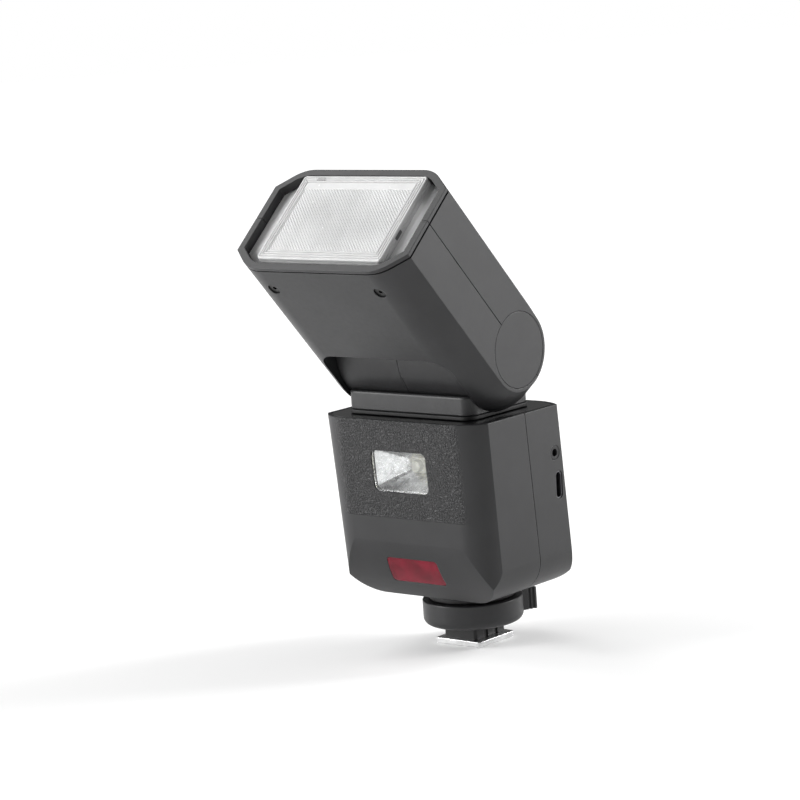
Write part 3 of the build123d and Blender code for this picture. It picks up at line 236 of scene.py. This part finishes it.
def leather_plastic(name, color, rough):
    """Front cover: pebbled on its upper front between the rounded sides, satin elsewhere; its pebbles
    carry painted shade in their creases and a painted highlight on their tops, and its edges are paled as
    rubbed wear and painted highlight.
    """
    made = Surface(name, IOR=1.5, Specular_IOR_Level=0.42)
    edge_mask, rounded = made.edge(EDGE_WIDTH)
    above = made.spread(made.axis("Z"), GRAIN_FLOOR, GRAIN_FLOOR + 0.2 * MM)
    side = made.combine("ABSOLUTE", made.axis("X"))
    between = made.spread(side, GRAIN_SIDE + GRAIN_FADE, GRAIN_SIDE)
    facing = made.spread(made.axis("Y"), GRAIN_BACK, GRAIN_FRONT)
    area = made.combine("MULTIPLY", made.combine("MULTIPLY", above, between), facing)
    wander = made.node("ShaderNodeVectorMath", operation="MULTIPLY_ADD")
    drift = made.node("ShaderNodeTexNoise")
    drift.inputs["Scale"].default_value = 1 / WANDER_SIZE
    made.join(made.place, drift.inputs["Vector"])
    made.join(drift.outputs["Color"], wander.inputs[0])
    wander.inputs[1].default_value = (WANDER_REACH, WANDER_REACH, WANDER_REACH)
    made.join(made.place, wander.inputs[2])
    creases = made.spread(made.cells(PEBBLE_SIZE, wander.outputs["Vector"]), 0.0, 0.34)
    pebbles = made.combine("ADD", creases, made.noise(0.6, 2))
    relief = made.combine("MULTIPLY", pebbles, area)
    clouds = made.spread(made.noise(CLOUD_SIZE), 0.3, 0.7)
    satin = made.color(clouds, tint(color, 0.9), tint(color, 1.15))
    # painted shade and highlight: each pebble is darker in its creases and paler on its top
    grain_painted_shade_and_highlight = made.color(creases, tint(color, 0.6), tint(color, 1.3))
    base = made.color(area, satin, grain_painted_shade_and_highlight)
    rubbed_and_highlit = made.combine("MULTIPLY", edge_mask, made.noise(PALE_EDGE_PATCH_SIZE))
    # paler edges: partly rubbed wear, partly painted highlight
    base = made.color(rubbed_and_highlit, base, tint(color, EDGE_WEAR_AND_HIGHLIGHT_TINT))
    gloss = made.spread(area, 0, 1, rough, rough - 0.06)
    fine = made.bump(made.noise(0.35, 2), 0.02, 0.5, after=rounded)
    return made.finish(base, gloss, made.bump(relief, PEBBLE_DEPTH, 1.0, after=fine))


def gloss_plastic(name, color, rough):
    """Polished plastic with hairline scratches and a little dust."""
    made = Surface(name, IOR=1.52, Coat_Weight=0.3, Coat_Roughness=0.06)
    edge_mask, rounded = made.edge(0.25)
    hair = made.noise(0.4, 4, made.stretched(1, 0.08, 1))
    dust = made.spread(made.noise(3, 6), 0.45, 0.75)
    base = made.color(dust, color, tint(color, 1.5))
    base = made.color(made.combine("MULTIPLY", edge_mask, 0.5), base, tint(color, 3))
    smear = made.spread(hair, 0.4, 0.8, rough, rough + 0.12)
    return made.finish(base, smear, made.bump(hair, 0.004, 0.4, after=rounded))


def brushed_metal(name, color, rough, lines=(1, 0.05, 1), depth=0.012):
    """Metal with brush lines along one axis, tarnish in patches and bright rubbed edges."""
    made = Surface(name, Metallic=1.0)
    edge_mask, rounded = made.edge(0.25)
    brush = made.noise(0.16, 4, made.stretched(*lines))
    patches = made.spread(made.noise(4, 5), 0.35, 0.7)
    base = made.color(patches, color, tint(color, 0.8))
    base = made.color(edge_mask, base, tint(color, 1.15))
    grey = made.spread(brush, 0.25, 0.75, rough - 0.07, rough + 0.12)
    return made.finish(base, grey, made.bump(brush, depth, 0.5, after=rounded))


def prism_plastic(name, color, rough, clear):
    """Moulded lens plastic: part clear, part scattering, with faint flow marks."""
    made = Surface(name, IOR=1.49, Transmission_Weight=clear)
    flow = made.noise(6, 4, made.stretched(1, 0.3, 0.3))
    base = made.color(made.spread(flow, 0.3, 0.75), color, tint(color, 0.93))
    haze = made.spread(made.noise(2.5, 4), 0.3, 0.8, rough, rough + 0.08)
    return made.finish(base, haze, made.bump(flow, 0.01, 0.3))


def mirror_metal(name, color, rough):
    """Vacuum-plated reflector with the slight orange peel of a plated moulding."""
    made = Surface(name, Metallic=1.0)
    peel = made.noise(3.2, 2)
    base = made.color(made.spread(made.noise(5), 0.3, 0.7), color, tint(color, 0.86))
    haze = made.spread(made.noise(1.5, 4), 0.3, 0.8, rough, rough + 0.1)
    return made.finish(base, haze, made.bump(peel, 0.5, 0.6))


def red_window(name, color):
    """Dark red filter with fine vertical ribs moulded inside it."""
    made = Surface(name, IOR=1.5, Specular_IOR_Level=0.2, Transmission_Weight=0.15)
    ribs = made.node("ShaderNodeTexWave", bands_direction="X")
    ribs.inputs["Scale"].default_value = 1 / (9 * MM)
    made.join(made.place, ribs.inputs["Vector"])
    depth = made.spread(made.noise(7, 3), 0.3, 0.75)
    base = made.color(depth, tint(color, 0.7), tint(color, 1.25))
    haze = made.spread(made.noise(2, 3), 0.3, 0.8, 0.16, 0.26)
    return made.finish(base, haze, made.bump(ribs.outputs["Fac"], 0.05, 0.25))


def tinted_glass(name, color, clear, rough=0.03):
    """Glass or clear plastic, tinted, with hairlines and finger haze."""
    made = Surface(name, IOR=1.5, Transmission_Weight=clear)
    hair = made.noise(0.5, 4, made.stretched(1, 1, 0.1))
    base = made.color(made.spread(made.noise(8), 0.3, 0.7), color, tint(color, 0.92))
    haze = made.spread(made.noise(6, 5), 0.45, 0.8, rough, rough + 0.06)
    return made.finish(base, haze, made.bump(hair, 0.003, 0.3))


def crystal_panel(name, color):
    """Liquid crystal panel: a fine pixel grid over a silvery back."""
    made = Surface(name, IOR=1.5)
    pixels = made.node("ShaderNodeTexBrick", offset=0.0)
    pixels.inputs["Scale"].default_value = 1 / MM
    pixels.inputs["Mortar Size"].default_value = 0.03
    pixels.inputs["Brick Width"].default_value = 0.35
    pixels.inputs["Row Height"].default_value = 0.35
    turned = made.node("ShaderNodeMapping")
    turned.inputs["Rotation"].default_value = (math.pi / 2, 0, 0)
    made.join(made.place, turned.inputs["Vector"])
    made.join(turned.outputs["Vector"], pixels.inputs["Vector"])
    base = made.color(pixels.outputs["Fac"], color, tint(color, 0.55))
    haze = made.spread(made.noise(4), 0.3, 0.7, 0.3, 0.42)
    return made.finish(base, haze, made.bump(made.noise(2), 0.005, 0.3))


SOLDER = (0.55, 0.5, 0.42)  # colour of the pads


def circuit_board(name, color):
    """Solder resist over copper tracks, with rows of small pads."""
    made = Surface(name, IOR=1.5, Coat_Weight=0.4, Coat_Roughness=0.15)
    tracks = made.spread(made.cells(3.2), 0.02, 0.09)
    base = made.color(tracks, tint(color, 1.7), color)
    pads = made.spread(made.cells(1.3), 0.40, 0.44)
    base = made.color(pads, base, SOLDER)
    haze = made.spread(made.noise(3), 0.3, 0.7, 0.3, 0.45)
    return made.finish(base, haze, made.bump(tracks, 0.03, 0.5))


def shrink_sleeve(name, color):
    """Heat-shrink film, slightly wrinkled and glossy."""
    made = Surface(name, IOR=1.5, Coat_Weight=0.5, Coat_Roughness=0.12)
    wrinkle = made.noise(2.5, 4, made.stretched(0.2, 1, 1))
    base = made.color(made.spread(made.noise(9), 0.3, 0.7), color, tint(color, 1.4))
    haze = made.spread(wrinkle, 0.3, 0.8, 0.25, 0.4)
    return made.finish(base, haze, made.bump(wrinkle, 0.08, 0.5))


BLACK = (0.016, 0.016, 0.017)
FINISH = {
    "shell_black": moulded_plastic("shell_black", BLACK, 0.42),
    "inner_black": moulded_plastic("inner_black", tint(BLACK, 0.75), 0.55, 0.5, 0.03),
    "deck_gloss": gloss_plastic("deck_gloss", tint(BLACK, 0.5), 0.14),
    "foot_steel": brushed_metal("foot_steel", (0.78, 0.78, 0.78), 0.3),
    "contact_gold": brushed_metal("contact_gold", (0.9, 0.66, 0.3), 0.2, (1, 1, 1), 0.004),
    "steel": brushed_metal("steel", (0.5, 0.5, 0.51), 0.3, (1, 1, 0.2)),
    "clear_lens": tinted_glass("clear_lens", (0.97, 0.98, 0.98), 1.0),
    "tube_glass": tinted_glass("tube_glass", (0.95, 0.96, 1.0), 0.9),
    "mirror_bright": mirror_metal("mirror_bright", (0.95, 0.95, 0.95), 0.22),
    "led_white": gloss_plastic("led_white", (0.88, 0.87, 0.78), 0.3),
    "assist_red": red_window("assist_red", (0.17, 0.006, 0.018)),
    "display_glass": tinted_glass("display_glass", (0.42, 0.44, 0.45), 0.9, 0.02),
    "display_dark": crystal_panel("display_dark", (0.10, 0.115, 0.105)),
    "board_green": circuit_board("board_green", (0.015, 0.13, 0.06)),
    "capacitor_sleeve": shrink_sleeve("capacitor_sleeve", (0.02, 0.02, 0.05)),
    "battery_wrap": shrink_sleeve("battery_wrap", (0.03, 0.07, 0.25)),
    "socket_metal": brushed_metal("socket_metal", (0.16, 0.16, 0.17), 0.38),
    "button_rubber": moulded_plastic("button_rubber", tint(BLACK, 0.9), 0.62, 0.25, 0.015),
    "button_clear": tinted_glass("button_clear", (0.30, 0.035, 0.02), 0.4, 0.2),
}
PEBBLED = leather_plastic("front_leather", BLACK, 0.44)
PRISM = prism_plastic("prism_plastic", (0.80, 0.80, 0.80), 0.2, 0.25)
FROSTED = prism_plastic("frosted_plastic", (0.86, 0.86, 0.86), 0.35, 0.1)
BLACKENED = brushed_metal("blackened_steel", (0.07, 0.07, 0.07), 0.42, (1, 1, 1), 0.006)
MARK_WHITE = moulded_plastic("mark_white", (0.55, 0.55, 0.54), 0.5)
MARK_GREY = moulded_plastic("mark_grey", (0.12, 0.12, 0.12), 0.45)
# dark plastic for the display segments and the index mark, and for the neck base a darker tint that is a
# painted dark reflection
DARK_MARKS_AND_NECK_SHADE = moulded_plastic("mark_dark", tint(BLACK, 0.4), 0.6)

for node in NODES.values():
    slot_name = node.material_slots[0].material.name.split(".")[0]
    node.material_slots[0].material = FINISH[slot_name]
# the neck base takes the darker copy of the black plastic: a painted dark reflection
OWN_LOOKS = {"front_cover": PEBBLED, "neck_base": DARK_MARKS_AND_NECK_SHADE, "head_screws": BLACKENED,
             "cover_screws": BLACKENED}
for name, material in OWN_LOOKS.items():
    NODES[name].material_slots[0].material = material


# ---------------------------------------------------------------- making pieces
def piece(name, body, shape, materials, replaces=()):
    """Turns a bmesh into an object that rides on a body and takes its finish from a slot."""
    bmesh.ops.recalc_face_normals(shape, faces=shape.faces)
    mesh = bpy.data.meshes.new(name)
    shape.to_mesh(mesh)
    shape.free()
    for material in materials:
        mesh.materials.append(material)
    made = bpy.data.objects.new(name, mesh)
    bpy.context.collection.objects.link(made)
    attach(made, body)
    if replaces:
        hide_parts(*replaces)


# ---------------------------------------------------------------- front lens with its prisms
LENS_HALF_W = 25.3 * MM
LENS_TOP = 18.1 * MM
LENS_BOTTOM = -16.2 * MM
LENS_CORNER = 1.2 * MM
PRISM_HALF_W = 22.2 * MM
PRISM_HALF_H = 12.9 * MM
PRISM_PITCH = 1.16 * MM
PRISM_DEPTH = 0.32 * MM
BORDER_RIBS = 3
RIB_STEP = 0.9 * MM
RIB_DEPTH = 0.35 * MM
LENS_CUT = 3.05 * MM       # the CAD lens is cut this far behind its front
LENS_WALL = ((0.9, 0.0), (1.05, 0.2), (1.6, 0.2), (1.75, 0.0), (3.1, 0.0))  # depth and inset, mm


def rib_line():
    """Offsets in from the lens edge, with the depth of the surface there."""
    points = [(0.0, 0.3 * MM), (0.25 * MM, 0.0)]
    for rib in range(BORDER_RIBS):
        start = 0.3 * MM + rib * RIB_STEP
        points += [(start + 0.35 * MM, 0.0), (start + 0.5 * MM, RIB_DEPTH)]
        points += [(start + 0.7 * MM, RIB_DEPTH), (start + 0.85 * MM, 0.0)]
    return points


def grid_line(low, high, inner):
    """Coordinates across the lens: a ribbed border at each end and prism steps between."""
    count = 4 * round(2 * inner / PRISM_PITCH)
    middle = [-inner + 2 * inner * step / count for step in range(count + 1)]
    offsets = [offset for offset, _ in rib_line()]
    return [low + offset for offset in offsets] + middle + [high - offset for offset in reversed(offsets)]


def rounded_in(u, v):
    """Pulls a corner of the rectangular grid in onto the lens's corner radius."""
    middle = (LENS_TOP + LENS_BOTTOM) / 2
    flat_u = LENS_HALF_W - LENS_CORNER
    flat_v = LENS_TOP - middle - LENS_CORNER
    over_u = abs(u) - flat_u
    over_v = abs(v - middle) - flat_v
    if over_u <= 0 or over_v <= 0:
        return u, v
    share = max(over_u, over_v) / math.hypot(over_u, over_v)
    u = math.copysign(flat_u + over_u * share, u)
    return u, middle + math.copysign(flat_v + over_v * share, v - middle)


def lens_depth(u, v):
    """Depth of the lens surface: ribs along the border and diamond prisms in the middle."""
    if abs(u) < PRISM_HALF_W and abs(v) < PRISM_HALF_H:
        turn_u = 2 * math.pi * u / PRISM_PITCH
        turn_v = 2 * math.pi * v / PRISM_PITCH
        return PRISM_DEPTH * (0.5 - 0.5 * math.cos(turn_u) * math.cos(turn_v))
    offset = min(LENS_HALF_W - abs(u), LENS_TOP - v, v - LENS_BOTTOM)
    return min(rib_line(), key=lambda point: abs(point[0] - offset))[1]


def bridge(shape, first, second, material=0):
    """Walls between two closed rings of the same number of vertices."""
    for i in range(len(first)):
        j = (i + 1) % len(first)
        shape.faces.new((first[i], first[j], second[j], second[i])).material_index = material


def make_lens():
    """The CAD lens, its block cut off near the flange and remade with ribs and prisms."""
    front = reach("front_lens", ALONG)[1]
    shape = bmesh.new()
    shape.from_mesh(NODES["front_lens"].data)
    bmesh.ops.remove_doubles(shape, verts=shape.verts, dist=0.001 * MM)
    everything = shape.verts[:] + shape.edges[:] + shape.faces[:]
    cut = bmesh.ops.bisect_plane(shape, geom=everything, plane_co=in_head(0, 0, front - LENS_CUT),
                                 plane_no=ALONG, clear_outer=True)
    rims = [item for item in cut["geom_cut"] if isinstance(item, bmesh.types.BMEdge)]
    bmesh.ops.holes_fill(shape, edges=rims)
    rows = []
    for v in grid_line(LENS_BOTTOM, LENS_TOP, PRISM_HALF_H):
        places = [(u, v) for u in grid_line(-LENS_HALF_W, LENS_HALF_W, PRISM_HALF_W)]
        rows.append([shape.verts.new(in_head(*rounded_in(*place), front - lens_depth(*place)))
                     for place in places])
    for low, high in zip(rows, rows[1:]):
        for i in range(len(low) - 1):
            shape.faces.new((low[i], low[i + 1], high[i + 1], high[i])).material_index = 1
    rim = rows[0] + [row[-1] for row in rows[1:]] + rows[-1][-2::-1] + [row[0] for row in rows[-2:0:-1]]
    last = rim
    for depth, inset in LENS_WALL:
        ring = []
        for vertex in rim:
            place = vertex.co - HINGE
            u, v = place.dot(ACROSS), place.dot(UPWARD)
            share = 1 - inset * MM / LENS_HALF_W
            ring.append(shape.verts.new(in_head(u * share, v * share, front - depth * MM)))
        bridge(shape, last, ring, 1)
        last = ring
    shape.faces.new(last).material_index = 1
    piece("prism_lens", "head", shape, (FROSTED, PRISM), ["front_lens"])


make_lens()


# ---------------------------------------------------------------- small applied details
CORNER_STEPS = 4
ARC_STEPS = 16
SLAB_SINK = 0.05 * MM      # how far a relief reaches into the surface under it


def rounded_rectangle(width, height, corner):
    """Outline of a rectangle with round corners, centred on 0, 0."""
    points = []
    for quarter in range(4):
        sign_x = (1, -1, -1, 1)[quarter]
        sign_y = (1, 1, -1, -1)[quarter]
        for step in range(CORNER_STEPS + 1):
            turn = math.radians(90 * (quarter + step / CORNER_STEPS))
            points.append((sign_x * (width / 2 - corner) + corner * math.cos(turn),
                           sign_y * (height / 2 - corner) + corner * math.sin(turn)))
    return points


def arc_band(inner, outer, start, end):
    """Outline of a band between two radii, from one angle to another in degrees."""
    turns = [math.radians(start + (end - start) * step / ARC_STEPS) for step in range(ARC_STEPS + 1)]
    outside = [(outer * math.cos(turn), outer * math.sin(turn)) for turn in turns]
    return outside + [(inner * math.cos(turn), inner * math.sin(turn)) for turn in reversed(turns)]


def moved(outline, x, y):
    """An outline shifted by x and y."""
    return [(point[0] + x, point[1] + y) for point in outline]


def add_slab(shape, outline, centre, right, up, height, sink=SLAB_SINK):
    """Closed low relief of an outline, standing height above its place, its top edge eased."""
    out = right.cross(up)
    middle = Vector((sum(x for x, _ in outline), sum(y for _, y in outline))) / len(outline)
    rings = []
    for level, share in ((-sink, 1.0), (height * 0.7, 1.0), (height, 0.97)):
        ring = []
        for point in outline:
            x, y = middle + (Vector(point) - middle) * share
            ring.append(shape.verts.new(centre + right * x + up * y + out * level))
        rings.append(ring)
    for first, second in zip(rings, rings[1:]):
        bridge(shape, first, second)
    shape.faces.new(rings[0])
    shape.faces.new(rings[-1])


def make_lens_clips():
    """Two small dark catches that hold the lens, one in its top border and one at its side."""
    front = reach("front_lens", ALONG)[1]
    shape = bmesh.new()
    top = rounded_rectangle(3.4 * MM, 1.3 * MM, 0.3 * MM)
    add_slab(shape, top, in_head(-17.6 * MM, 16.6 * MM, front), ACROSS, UPWARD, -0.02 * MM, 0.6 * MM)
    side = rounded_rectangle(1.3 * MM, 3.6 * MM, 0.3 * MM)
    add_slab(shape, side, in_head(LENS_HALF_W, -4.5 * MM, front - 1.5 * MM), -ALONG, UPWARD, 0.1 * MM)
    piece("lens_clips", "head", shape, (MARK_GREY,))


INDEX_TOP = -24            # degrees from the horizontal, so it starts below it
INDEX_SWEEP = 16           # and goes this much further down
INDEX_STEPS = 12
INDEX_HALF_W = 0.35 * MM
INDEX_PROUD = 0.015 * MM
INDEX_SINK = 0.3 * MM


def make_index_mark():
    """Dark index line let into the front of the tilt barrel, over its centre split."""
    radius = reach("barrel_left", ALONG)[1]
    shape = bmesh.new()
    rings = []
    for step in range(INDEX_STEPS + 1):
        turn = math.radians(INDEX_TOP - INDEX_SWEEP * step / INDEX_STEPS)
        out = Vector((0, -math.cos(turn), math.sin(turn)))
        ring = []
        for side, level in ((-1, INDEX_PROUD), (1, INDEX_PROUD), (1, -INDEX_SINK), (-1, -INDEX_SINK)):
            centre = HINGE + out * (radius + level)
            ring.append(shape.verts.new(centre + ACROSS * (side * INDEX_HALF_W)))
        rings.append(ring)
    for first, second in zip(rings, rings[1:]):
        bridge(shape, first, second)
    shape.faces.new(rings[0])
    shape.faces.new(rings[-1])
    piece("index_mark", "neck", shape, (DARK_MARKS_AND_NECK_SHADE,))


OUTWARD = -Vector(JOINTS["menu_button_press"]["axis"]).normalized()
REAR_RIGHT = Vector((-1, 0, 0))
REAR_UP = OUTWARD.cross(REAR_RIGHT)
SYMBOL_RELIEF = 0.03 * MM
SEGMENT_RELIEF = 0.02 * MM


def top_of(node):
    """Middle of the outermost face of a piece on the rear panel."""
    places = [vertex.co for vertex in NODES[node].data.vertices]
    top = max(place.dot(OUTWARD) for place in places)
    face = [place for place in places if place.dot(OUTWARD) > top - 0.05 * MM]
    low, high = (Vector([pick(place[k] for place in face) for k in range(3)]) for pick in (min, max))
    return (low + high) / 2


def make_button_marks():
    """Plain raised symbols on the rear buttons: bars, rings, arcs, arrows and a lamp."""
    bar = rounded_rectangle(3.0 * MM, 0.32 * MM, 0.12 * MM)
    ray = rounded_rectangle(0.28 * MM, 0.6 * MM, 0.1 * MM)
    wedge = [(0.0, 0.55 * MM), (0.0, -0.55 * MM), (0.9 * MM, 0.0)]
    mirrored = [(-x, y) for x, y in wedge]
    waves = [arc_band(start * MM, (start + 0.28) * MM, -50, 50) for start in (0.6, 1.3, 2.0)]
    symbols = {
        "menu_button": [moved(bar, 0, shift * MM) for shift in (-0.8, 0, 0.8)],
        "mode_button": [arc_band(0.85 * MM, 1.15 * MM, 0, 359)],
        "wireless_button": [moved(wave, -1.2 * MM, 0) for wave in waves],
        "zoom_button": [moved(wedge, 0.7 * MM, 0), moved(mirrored, -0.7 * MM, 0)],
        "lamp_button": [arc_band(0.5 * MM, 0.78 * MM, 0, 359), moved(ray, 0, 1.5 * MM),
                        moved(ray, 0, -1.5 * MM)],
        "set_button": [arc_band(0.9 * MM, 1.2 * MM, 0, 359)],
    }
    for node, outlines in symbols.items():
        shape = bmesh.new()
        for outline in outlines:
            add_slab(shape, outline, top_of(node), REAR_RIGHT, REAR_UP, SYMBOL_RELIEF)
        piece(node + "_mark", node, shape, (MARK_WHITE,))


METER_BARS = 9
CELL_BARS = 3
SCALE_TICKS = 15
SHORT_TICK = 0.9 * MM
LONG_TICK = 1.6 * MM
LONG_TICK_EVERY = 7


def make_display_segments():
    """Generic segments on the display: a level meter, a cell symbol and a scale."""
    outlines = []
    for step in range(METER_BARS):
        height = (2.0 + 0.9 * step) * MM
        bar = rounded_rectangle(1.7 * MM, height, 0.2 * MM)
        outlines.append(moved(bar, (-15.0 + 2.5 * step) * MM, height / 2 - 5 * MM))
    cell = rounded_rectangle(1.3 * MM, 2.4 * MM, 0.15 * MM)
    outlines += [moved(cell, (10 + 1.7 * step) * MM, 7.6 * MM) for step in range(CELL_BARS)]
    for step in range(SCALE_TICKS):
        height = LONG_TICK if step % LONG_TICK_EVERY == 0 else SHORT_TICK
        tick = rounded_rectangle(0.3 * MM, height, 0.08 * MM)
        outlines.append(moved(tick, (-14 + 2 * step) * MM, -8 * MM))
    shape = bmesh.new()
    centre = top_of("display_panel")
    for outline in outlines:
        add_slab(shape, outline, centre, REAR_RIGHT, REAR_UP, SEGMENT_RELIEF)
    piece("display_segments", "housing", shape, (DARK_MARKS_AND_NECK_SHADE,))


make_lens_clips()
make_index_mark()
make_button_marks()
make_display_segments()

# ---------------------------------------------------------------- camera, floor and light
AZIMUTH = math.radians(40.62)
ELEVATION = math.radians(9.28)
ROLL = math.radians(-4.09)
DISTANCE = 981 * MM
LOOK_AT = Vector((0, 0, 80 * MM))
SHIFT_RIGHT = 19.2 * MM
LENS_LENGTH = 135.9        # millimetres of focal length
SENSOR_WIDTH = 36          # millimetres
CLIP_END = 20              # metres


def make_camera():
    """Camera at the photograph's angle, with the object left of its axis."""
    back = Vector((math.sin(AZIMUTH) * math.cos(ELEVATION), -math.cos(AZIMUTH) * math.cos(ELEVATION),
                   math.sin(ELEVATION)))
    level = Vector((math.cos(AZIMUTH), math.sin(AZIMUTH), 0))
    right = (level * math.cos(ROLL) + back.cross(level) * math.sin(ROLL)).normalized()
    up = back.cross(right)
    data = bpy.data.cameras.new("camera")
    data.lens = LENS_LENGTH
    data.sensor_width = SENSOR_WIDTH
    data.clip_end = CLIP_END
    camera = bpy.data.objects.new("camera", data)
    camera.matrix_world = Matrix((right, up, back)).transposed().to_4x4()
    camera.location = LOOK_AT - right * SHIFT_RIGHT + back * DISTANCE
    bpy.context.collection.objects.link(camera)
    bpy.context.scene.camera = camera


LIGHT_TARGET = Vector((0, 0, 0.09))


def make_softbox(name, place, width, height, power):
    """Rectangular studio light aimed at the object."""
    data = bpy.data.lights.new(name, "AREA")
    data.shape = "RECTANGLE"
    data.size = width
    data.size_y = height
    data.energy = power
    light = bpy.data.objects.new(name, data)
    light.location = place
    aim = LIGHT_TARGET - Vector(place)
    light.rotation_euler = aim.to_track_quat("-Z", "Y").to_euler()
    bpy.context.collection.objects.link(light)


WORLD_FOR_CAMERA = 1.0     # strength of the surroundings as the camera sees them
WORLD_FOR_GLOSS = 0.12     # and as gloss and glass see them
WORLD_DIFFUSE_STEP = 0.15  # matt surfaces get this share of the way from gloss to camera


def make_world():
    """Pale surroundings that light matt surfaces evenly but stay dim in gloss, as a dark studio does."""
    world = bpy.data.worlds.new("studio")
    world.use_nodes = True
    nodes, links = world.node_tree.nodes, world.node_tree.links
    path = nodes.new("ShaderNodeLightPath")
    pale = nodes.new("ShaderNodeMath")
    strength = nodes.new("ShaderNodeMapRange")
    strength.inputs["To Min"].default_value = WORLD_FOR_GLOSS
    strength.inputs["To Max"].default_value = WORLD_FOR_CAMERA
    pale.operation = "MULTIPLY_ADD"
    links.new(path.outputs["Is Diffuse Ray"], pale.inputs[0])
    pale.inputs[1].default_value = WORLD_DIFFUSE_STEP
    links.new(path.outputs["Is Camera Ray"], pale.inputs[2])
    links.new(pale.outputs["Value"], strength.inputs["Value"])
    links.new(strength.outputs["Result"], nodes["Background"].inputs["Strength"])
    nodes["Background"].inputs["Color"].default_value = (1, 1, 1, 1)
    bpy.context.scene.world = world
    bpy.context.scene.view_settings.view_transform = "Standard"


FLOOR_RADIUS = 4.0
FLOOR_GAP = 0.05 * MM      # keeps the foot from sharing its plane
GLOW_START = 0.15          # metres from the middle
GLOW_END = 1.8
GLOW_NEAR = 0.12           # strengths there
GLOW_FAR = 0.85


def make_floor():
    """Wide pale floor, lit from behind further out so that it meets the pale surroundings."""
    shape = bmesh.new()
    bmesh.ops.create_circle(shape, cap_ends=True, segments=96, radius=FLOOR_RADIUS)
    mesh = bpy.data.meshes.new("floor")
    shape.to_mesh(mesh)
    shape.free()
    paper = Surface("floor_paper", Roughness=0.75)
    clouds = paper.spread(paper.noise(400), 0.3, 0.7)
    shade = paper.finish(paper.color(clouds, (0.91, 0.91, 0.91), (0.93, 0.93, 0.93)))
    far = paper.node("ShaderNodeVectorMath", operation="LENGTH")
    paper.join(paper.place, far.inputs[0])
    paper.shader.inputs["Emission Color"].default_value = (1, 1, 1, 1)
    glow = paper.spread(far.outputs["Value"], GLOW_START, GLOW_END, GLOW_NEAR, GLOW_FAR)
    paper.join(glow, paper.shader.inputs["Emission Strength"])
    mesh.materials.append(shade)
    floor = bpy.data.objects.new("floor", mesh)
    floor.location.z = CAD_BOX[0][2] - FLOOR_GAP
    bpy.context.collection.objects.link(floor)


make_camera()
make_world()
make_floor()
make_softbox("softbox_front_left", (-0.85, -0.95, 0.47), 0.6, 0.9, 17)
make_softbox("softbox_back_right", (0.75, 0.85, 0.60), 0.5, 0.9, 17)
make_softbox("softbox_above_left", (-0.80, -0.05, 0.95), 0.9, 0.9, 6.5)
